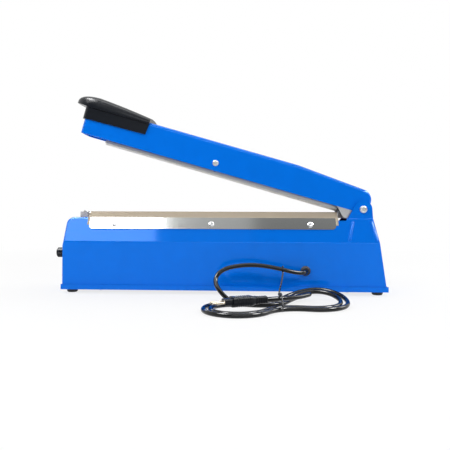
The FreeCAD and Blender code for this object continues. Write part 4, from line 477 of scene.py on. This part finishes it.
fall = HANK_HALF - HANK_WAIST + HANK_WAIST_STEP / HANK_STATIONS
start_angle = -2 * math.atan2(fall, crown_x)
start_heading = hank_turned(math.cos(start_angle), math.sin(start_angle))
stations = [(hank_place(-crown_x / 2, HANK_HALF - fall / 2), start_heading)]
stations += [hank_station(step) for step in range(1, HANK_LAST + 1)]
plug_end = hank_place(PLUG_ALONG, PLUG_ASIDE, CORD + CORD_GAP + PLUG_HEIGHT / 2 - CORD / 2)
tail = hank_turned(-1, 0)
stations.append((plug_end - tail * CORD, tail))
arch_end = stations[0][0] - start_heading * CORD
exit_y = GROMMET[1] - GROMMET_REACH
arch = np.array([
    (GROMMET[0], exit_y, GROMMET[2]), (GROMMET[0], exit_y - 6, GROMMET[2]),
    (GROMMET[0] - 6, exit_y - 12.5, GROMMET[2] - 0.6),
    (95, -64, 31.6), (84, -66.5, 34.6), (72, -67.5, 37.2), (60, -69, 39.6), (47, -71, 40.9),
    (34, -74, 40.9), (21, -78, 39.3), (10.5, -81.8, 36.4), (4, -86, 31.5), (1.5, -90, 25.6),
    (2.6, -94.6, 19.6), (7.5, -99.5, 13.2), (14, -103.2, 7),
    tuple(arch_end - start_heading * ARCH_LANDING), tuple(arch_end)])
turns = np.concatenate([biarc_points(*here, *there) for here, there in zip(stations, stations[1:])])


def hank_lifted(points):
    """Points of the hank with the loops at its hinge end standing off the floor: the lift is a smooth
    step along the hank times a smooth step across it."""
    c, s = math.cos(HANK_TURN), math.sin(HANK_TURN)
    flat = points[:, :2] - HANK[:2]
    along = (flat @ (c, s) - HANK_LIFT_START) / (HANK_REACH - HANK_LIFT_START)
    aside = (flat @ (-s, c) + HANK_HALF) / (2 * HANK_HALF)
    share = np.clip(np.stack([along, aside]), 0, 1)
    return points + np.prod(share ** 2 * (3 - 2 * share), axis=0)[:, None] * (0, 0, HANK_LIFT)


route = np.concatenate([arch, hank_lifted(turns), [stations[-1][0], plug_end]]) * MM


def strand(name, points, across, material):
    """A round strand along points, as one smooth spline with a round section."""
    curve = bpy.data.curves.new(name, "CURVE")
    curve.dimensions = "3D"
    spline = curve.splines.new("NURBS")
    spline.points.add(len(points) - 1)
    spline.points.foreach_set("co", np.column_stack([points, np.ones(len(points))]).ravel())
    spline.order_u = 3
    spline.use_endpoint_u = True
    curve.bevel_depth = across / 2
    curve.bevel_resolution = 5
    curve.resolution_u = 4
    curve.use_fill_caps = True
    made = bpy.data.objects.new(name, curve)
    bpy.context.collection.objects.link(made)
    curve.materials.append(material)
    return made


vinyl = finish("black_vinyl", (0.004, 0.005, 0.006), 0.12, coat=0.1, shine=0.3)
cord = strand("mains_cord_strand", route, CORD * MM, vinyl)
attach(cord, "base")
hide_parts("mains_cord", "cord_hank")
dress(rubber, "cord_grommet")

# Plug: a black moulding on the end of the cord, with a ringed sleeve, a collar and a ribbed grip. Two
# turned brass pins stand in its nose, and it lies on the hank.

PLUG_STEPS, NOSE_STEPS, NOSE_GAP, PLUG_SIDES = 161, 9, 0.01, 48
# The sleeve, the swell, the collar and the grip are shares of the plug's length.
PLUG_SLEEVE, PLUG_SWELL, PLUG_COLLAR = 0.28, 0.22, 0.05
PLUG_GRIP, PLUG_SQUARE = (0.52, 0.92), 4
SLEEVE_HALF, SLEEVE_RING, SLEEVE_PITCH = 0.72 * CORD, 0.35, 2.2
COLLAR_RISE, GRIP_RIB, GRIP_PITCH = 0.5, 0.3, 2.4
NOSE_WIDE, NOSE_HIGH = 0.36, 0.34


def plug_points():
    """The plug as a grid along its axis and around a rounded-square section: a ringed sleeve widens
    into the body, whose grip has shallow ribs, and steps in to the nose."""
    along = np.concatenate([[0], np.linspace(0, PLUG_LENGTH, PLUG_STEPS), [PLUG_LENGTH + NOSE_GAP],
                            np.linspace(PLUG_LENGTH + 2 * NOSE_GAP, PLUG_LENGTH + PLUG_NOSE, NOSE_STEPS),
                            [PLUG_LENGTH + PLUG_NOSE]])
    share = np.clip(along / PLUG_LENGTH, 0, 1)
    swell = np.clip((share - PLUG_SLEEVE) / PLUG_SWELL, 0, 1)
    swell = swell * swell * (3 - 2 * swell)
    wide = SLEEVE_HALF + (PLUG_WIDTH / 2 - SLEEVE_HALF) * swell
    high = SLEEVE_HALF + (PLUG_HEIGHT / 2 - SLEEVE_HALF) * swell
    rings = SLEEVE_RING * np.sin(along * 2 * math.pi / SLEEVE_PITCH)
    grooves = -GRIP_RIB * (1 + np.sin(along * 2 * math.pi / GRIP_PITCH))
    relief = (np.where(share < PLUG_SLEEVE, rings, 0.0)
              + np.where((share > PLUG_GRIP[0]) & (share < PLUG_GRIP[1]), grooves, 0.0)
              + np.where((share > PLUG_SLEEVE) & (share < PLUG_SLEEVE + PLUG_COLLAR), COLLAR_RISE, 0.0))
    nose = along > PLUG_LENGTH
    wide = np.where(nose, PLUG_WIDTH * NOSE_WIDE, wide + relief)
    high = np.where(nose, PLUG_HEIGHT * NOSE_HIGH, high + relief)
    wide[[0, -1]] = 0.0
    high[[0, -1]] = 0.0
    angle = np.linspace(0, 2 * math.pi, PLUG_SIDES, endpoint=False)
    corner = np.abs(np.cos(angle)) ** PLUG_SQUARE + np.abs(np.sin(angle)) ** PLUG_SQUARE
    square = corner ** (-1 / PLUG_SQUARE)
    aside, up = wide[:, None] * np.cos(angle) * square, high[:, None] * np.sin(angle) * square
    flank = np.cross(tail, (0, 0, 1))
    return (plug_end + along[:, None, None] * tail + aside[:, :, None] * flank
            + up[:, :, None] * np.array((0, 0, 1)))


plug = soften(grid_mesh("plug_moulded", plug_points() * MM, black_moulding))
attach(plug, "base")
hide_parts("plug_body")
brass = finish("pin_brass", (0.60, 0.54, 0.43), 0.28, 1.0, mottle=0.08)
dress(brass, "plug_pins")

# Tie: two thin wires in a dark coating, twisted together. They are bent over the middle of the hank
# by hand and hooked round the arch above it.

TIE_X, TIE_WIRE, TIE_TWIST = 75.0, 1.2, 6.0
TIE_STEP, TIE_EASE, TIE_SIDES = 1.0, 2, 10
TIE_OVER = ((-24, 1.2), (-24, 7), (-8, 15), (5, 15), (19, 9.5), (36, 8.8))
TIE_STEM = ((78, -84, 21), (81, -71.4, 32.4))
TIE_HOOK, TIE_HOOK_RADIUS = (81, -66.75, 35.2), 4.3
TIE_HOOK_TURN = np.radians(np.arange(-109, 150, 40))
tie_dark = finish("tie_dark", (0.02, 0.02, 0.025), 0.4, mottle=0.2)


def tie_points(phase):
    """One wire of the tie as rings about a helix round the tie's route. A running mean rounds the
    route's corners, and the phase sets the wire's place round it."""
    c, s = math.cos(HANK_TURN), math.sin(HANK_TURN)
    over = [hank_place((TIE_X - HANK[0] + y * s) / c, y, z - CORD / 2) for y, z in TIE_OVER]
    hook = np.array(TIE_HOOK) + TIE_HOOK_RADIUS * np.stack(
        [0 * TIE_HOOK_TURN, np.cos(TIE_HOOK_TURN), np.sin(TIE_HOOK_TURN)], axis=1)
    line = along_line(np.concatenate([over, TIE_STEM, hook]), TIE_STEP)
    spare = np.pad(line, ((TIE_EASE, TIE_EASE), (0, 0)), mode="edge")
    line = np.mean([spare[at:at + len(line)] for at in range(2 * TIE_EASE + 1)], axis=0)
    step = np.gradient(line, axis=0)
    run = np.cumsum(np.linalg.norm(step, axis=1))
    aside = np.cross(step, (1.0, 0.0, 0.0))
    aside /= np.linalg.norm(aside, axis=1)[:, None]
    other = np.cross(aside, step)
    other /= np.linalg.norm(other, axis=1)[:, None]
    turn = (2 * math.pi * run / TIE_TWIST + phase)[:, None]
    centre = line + TIE_WIRE / 2 * (np.cos(turn) * aside + np.sin(turn) * other)
    radius = np.full((len(line), 1, 1), TIE_WIRE / 2)
    radius[[0, -1]] = 0.0
    angle = np.linspace(0, 2 * math.pi, TIE_SIDES, endpoint=False)[None, :, None]
    return centre[:, None] + radius * (np.cos(angle) * aside[:, None] - np.sin(angle) * other[:, None])


tie = joined("tie_twisted", [tie_points(0.0), tie_points(math.pi)], tie_dark)
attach(tie, "base")
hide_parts("cord_tie")

# Studio: a white floor and a white surround. Lamps stand above the near left, in front and at the
# hinge end, and strips that show in gloss alone draw light along the folds. The camera stands in
# front of the long side, a little to the hinge end.

FLOOR_REACH = 6.0
FLOOR_COLOUR, FLOOR_ROUGHNESS, FLOOR_SHINE = (0.9, 0.9, 0.9, 1.0), 0.9, 0.1
# Each ramp is where it starts and ends, then its strength there: outwards from the middle of the
# floor in metres, and from the front of the surround to its back.
FLOOR_GLOW = (0.25, 1.0, 0.78, 1.0)
ROOM_LIGHT = (-0.45, 0.35, 0.16, 1.0)
BACKDROP_GLOSS = (-0.6, 0.0, 0.12, 1.0)


def worked_out(tree, operation, first, second):
    """The output of a node that works one value out of two."""
    made = tree.nodes.new("ShaderNodeMath")
    made.operation = operation
    tree.links.new(first, made.inputs[0])
    tree.links.new(second, made.inputs[1])
    return made.outputs["Value"]


def climbing(tree, value, start, end, low, high):
    """The output of a node that goes in a straight line from low to high while a value goes from start
    to end, and is level outside them."""
    made = tree.nodes.new("ShaderNodeMapRange")
    for socket, number in zip(("From Min", "From Max", "To Min", "To Max"), (start, end, low, high)):
        made.inputs[socket].default_value = number
    tree.links.new(value, made.inputs["Value"])
    return made.outputs["Result"]


floor_mesh = bpy.data.meshes.new("studio_floor")
floor_corners = [(x * FLOOR_REACH, y * FLOOR_REACH, 0) for x, y in ((-1, -1), (1, -1), (1, 1), (-1, 1))]
floor_mesh.from_pydata(floor_corners, [], [(0, 1, 2, 3)])
floor = bpy.data.objects.new("studio_floor", floor_mesh)
bpy.context.collection.objects.link(floor)
floor_white = bpy.data.materials.new("studio_white")
floor_white.use_nodes = True
tree = floor_white.node_tree
paint = tree.nodes["Principled BSDF"]
paint.inputs["Base Color"].default_value = FLOOR_COLOUR
paint.inputs["Roughness"].default_value = FLOOR_ROUGHNESS
paint.inputs["Specular IOR Level"].default_value = FLOOR_SHINE
glow = tree.nodes.new("ShaderNodeEmission")
glow.inputs["Strength"].default_value = 1.0
place = tree.nodes.new("ShaderNodeTexCoord")
away = tree.nodes.new("ShaderNodeVectorMath")
away.operation = "LENGTH"
tree.links.new(place.outputs["Object"], away.inputs[0])
spread = climbing(tree, away.outputs["Value"], *FLOOR_GLOW)
rays = tree.nodes.new("ShaderNodeLightPath").outputs
looking = worked_out(tree, "MAXIMUM", rays["Is Camera Ray"], rays["Is Transmission Ray"])
showing = worked_out(tree, "MAXIMUM", looking, rays["Is Glossy Ray"])
blend = tree.nodes.new("ShaderNodeMixShader")
tree.links.new(worked_out(tree, "MULTIPLY", showing, spread), blend.inputs["Fac"])
tree.links.new(paint.outputs["BSDF"], blend.inputs[1])
tree.links.new(glow.outputs["Emission"], blend.inputs[2])
tree.links.new(blend.outputs["Shader"], tree.nodes["Material Output"].inputs["Surface"])
floor_mesh.materials.append(floor_white)

world = bpy.data.worlds.new("studio_air")
bpy.context.scene.world = world
world.use_nodes = True
sky = world.node_tree
air = sky.nodes["Background"]
air.inputs["Color"].default_value = (1, 1, 1, 1)
way = sky.nodes.new("ShaderNodeTexCoord")
parts = sky.nodes.new("ShaderNodeSeparateXYZ")
sky.links.new(way.outputs["Object"], parts.inputs[0])
room = climbing(sky, parts.outputs["Y"], *ROOM_LIGHT)
backdrop = climbing(sky, parts.outputs["Y"], *BACKDROP_GLOSS)
rays = sky.nodes.new("ShaderNodeLightPath").outputs
mirrored = worked_out(sky, "MULTIPLY", rays["Is Glossy Ray"], backdrop)
looking = worked_out(sky, "MAXIMUM", rays["Is Camera Ray"], rays["Is Transmission Ray"])
showing = worked_out(sky, "MAXIMUM", looking, mirrored)
sky.links.new(worked_out(sky, "MAXIMUM", showing, room), air.inputs["Strength"])


def softbox(name, place, aim, width, height, power, sheen_only=False):
    """A rectangular lamp at a place, facing a point, seen in gloss alone where asked."""
    lamp = bpy.data.lights.new(name, "AREA")
    lamp.shape = "RECTANGLE"
    lamp.size, lamp.size_y, lamp.energy = width, height, power
    made = bpy.data.objects.new(name, lamp)
    bpy.context.collection.objects.link(made)
    facing = (Vector(aim) - Vector(place)).to_track_quat("-Z", "Y")
    made.matrix_world = Matrix.Translation(place) @ facing.to_matrix().to_4x4()
    made.visible_diffuse = not sheen_only


softbox("lamp_left", (-0.79, -0.66, 1.05), (-0.79, 0, 0.09), 1.0, 0.3, 6.5)
softbox("lamp_middle", (-0.12, -0.66, 1.05), (-0.12, 0, 0.09), 0.36, 0.4, 0.10)
softbox("lamp_front", (0.45, -1.42, 0.85), (0.05, 0, 0.1), 1.8, 0.4, 10.0)
softbox("lamp_rim", (1.15, 0.25, 0.65), (0.2, 0, 0.1), 0.5, 0.5, 5.0)
softbox("strip_left", (-0.6, -0.3, 1.2), (0.17, 0, 0.08), 0.45, 0.35, 15.0, sheen_only=True)
softbox("strip_right", (1.0, -0.3, 1.0), (0.2, 0, 0.08), 0.45, 0.35, 20.0, sheen_only=True)
softbox("strip_top", (0.0, -0.05, 1.3), (0.0, 0.0, 0.1), 1.8, 0.4, 11.0, sheen_only=True)

CAMERA = Vector((0.0377, -0.6676, 0.100))
YAW, PITCH, ROLL = math.radians(-2.5), math.radians(-1.11), math.radians(0.22)
FOCAL_PIXELS, FRAME_PIXELS = 500.0, 450.0
ahead = Vector((math.sin(YAW) * math.cos(PITCH), math.cos(YAW) * math.cos(PITCH), math.sin(PITCH)))
right = ahead.cross(Vector((0, 0, 1))).normalized()
up = right.cross(ahead)
right, up = right * math.cos(ROLL) + up * math.sin(ROLL), up * math.cos(ROLL) - right * math.sin(ROLL)
lens = bpy.data.cameras.new("studio_camera")
lens.sensor_width = 36.0
lens.lens = lens.sensor_width * FOCAL_PIXELS / FRAME_PIXELS
camera = bpy.data.objects.new("studio_camera", lens)
bpy.context.collection.objects.link(camera)
facing = Matrix((right, up, -ahead)).transposed().to_4x4()
camera.matrix_world = Matrix.Translation(CAMERA) @ facing
bpy.context.scene.camera = camera
bpy.context.scene.view_settings.view_transform = "Standard"
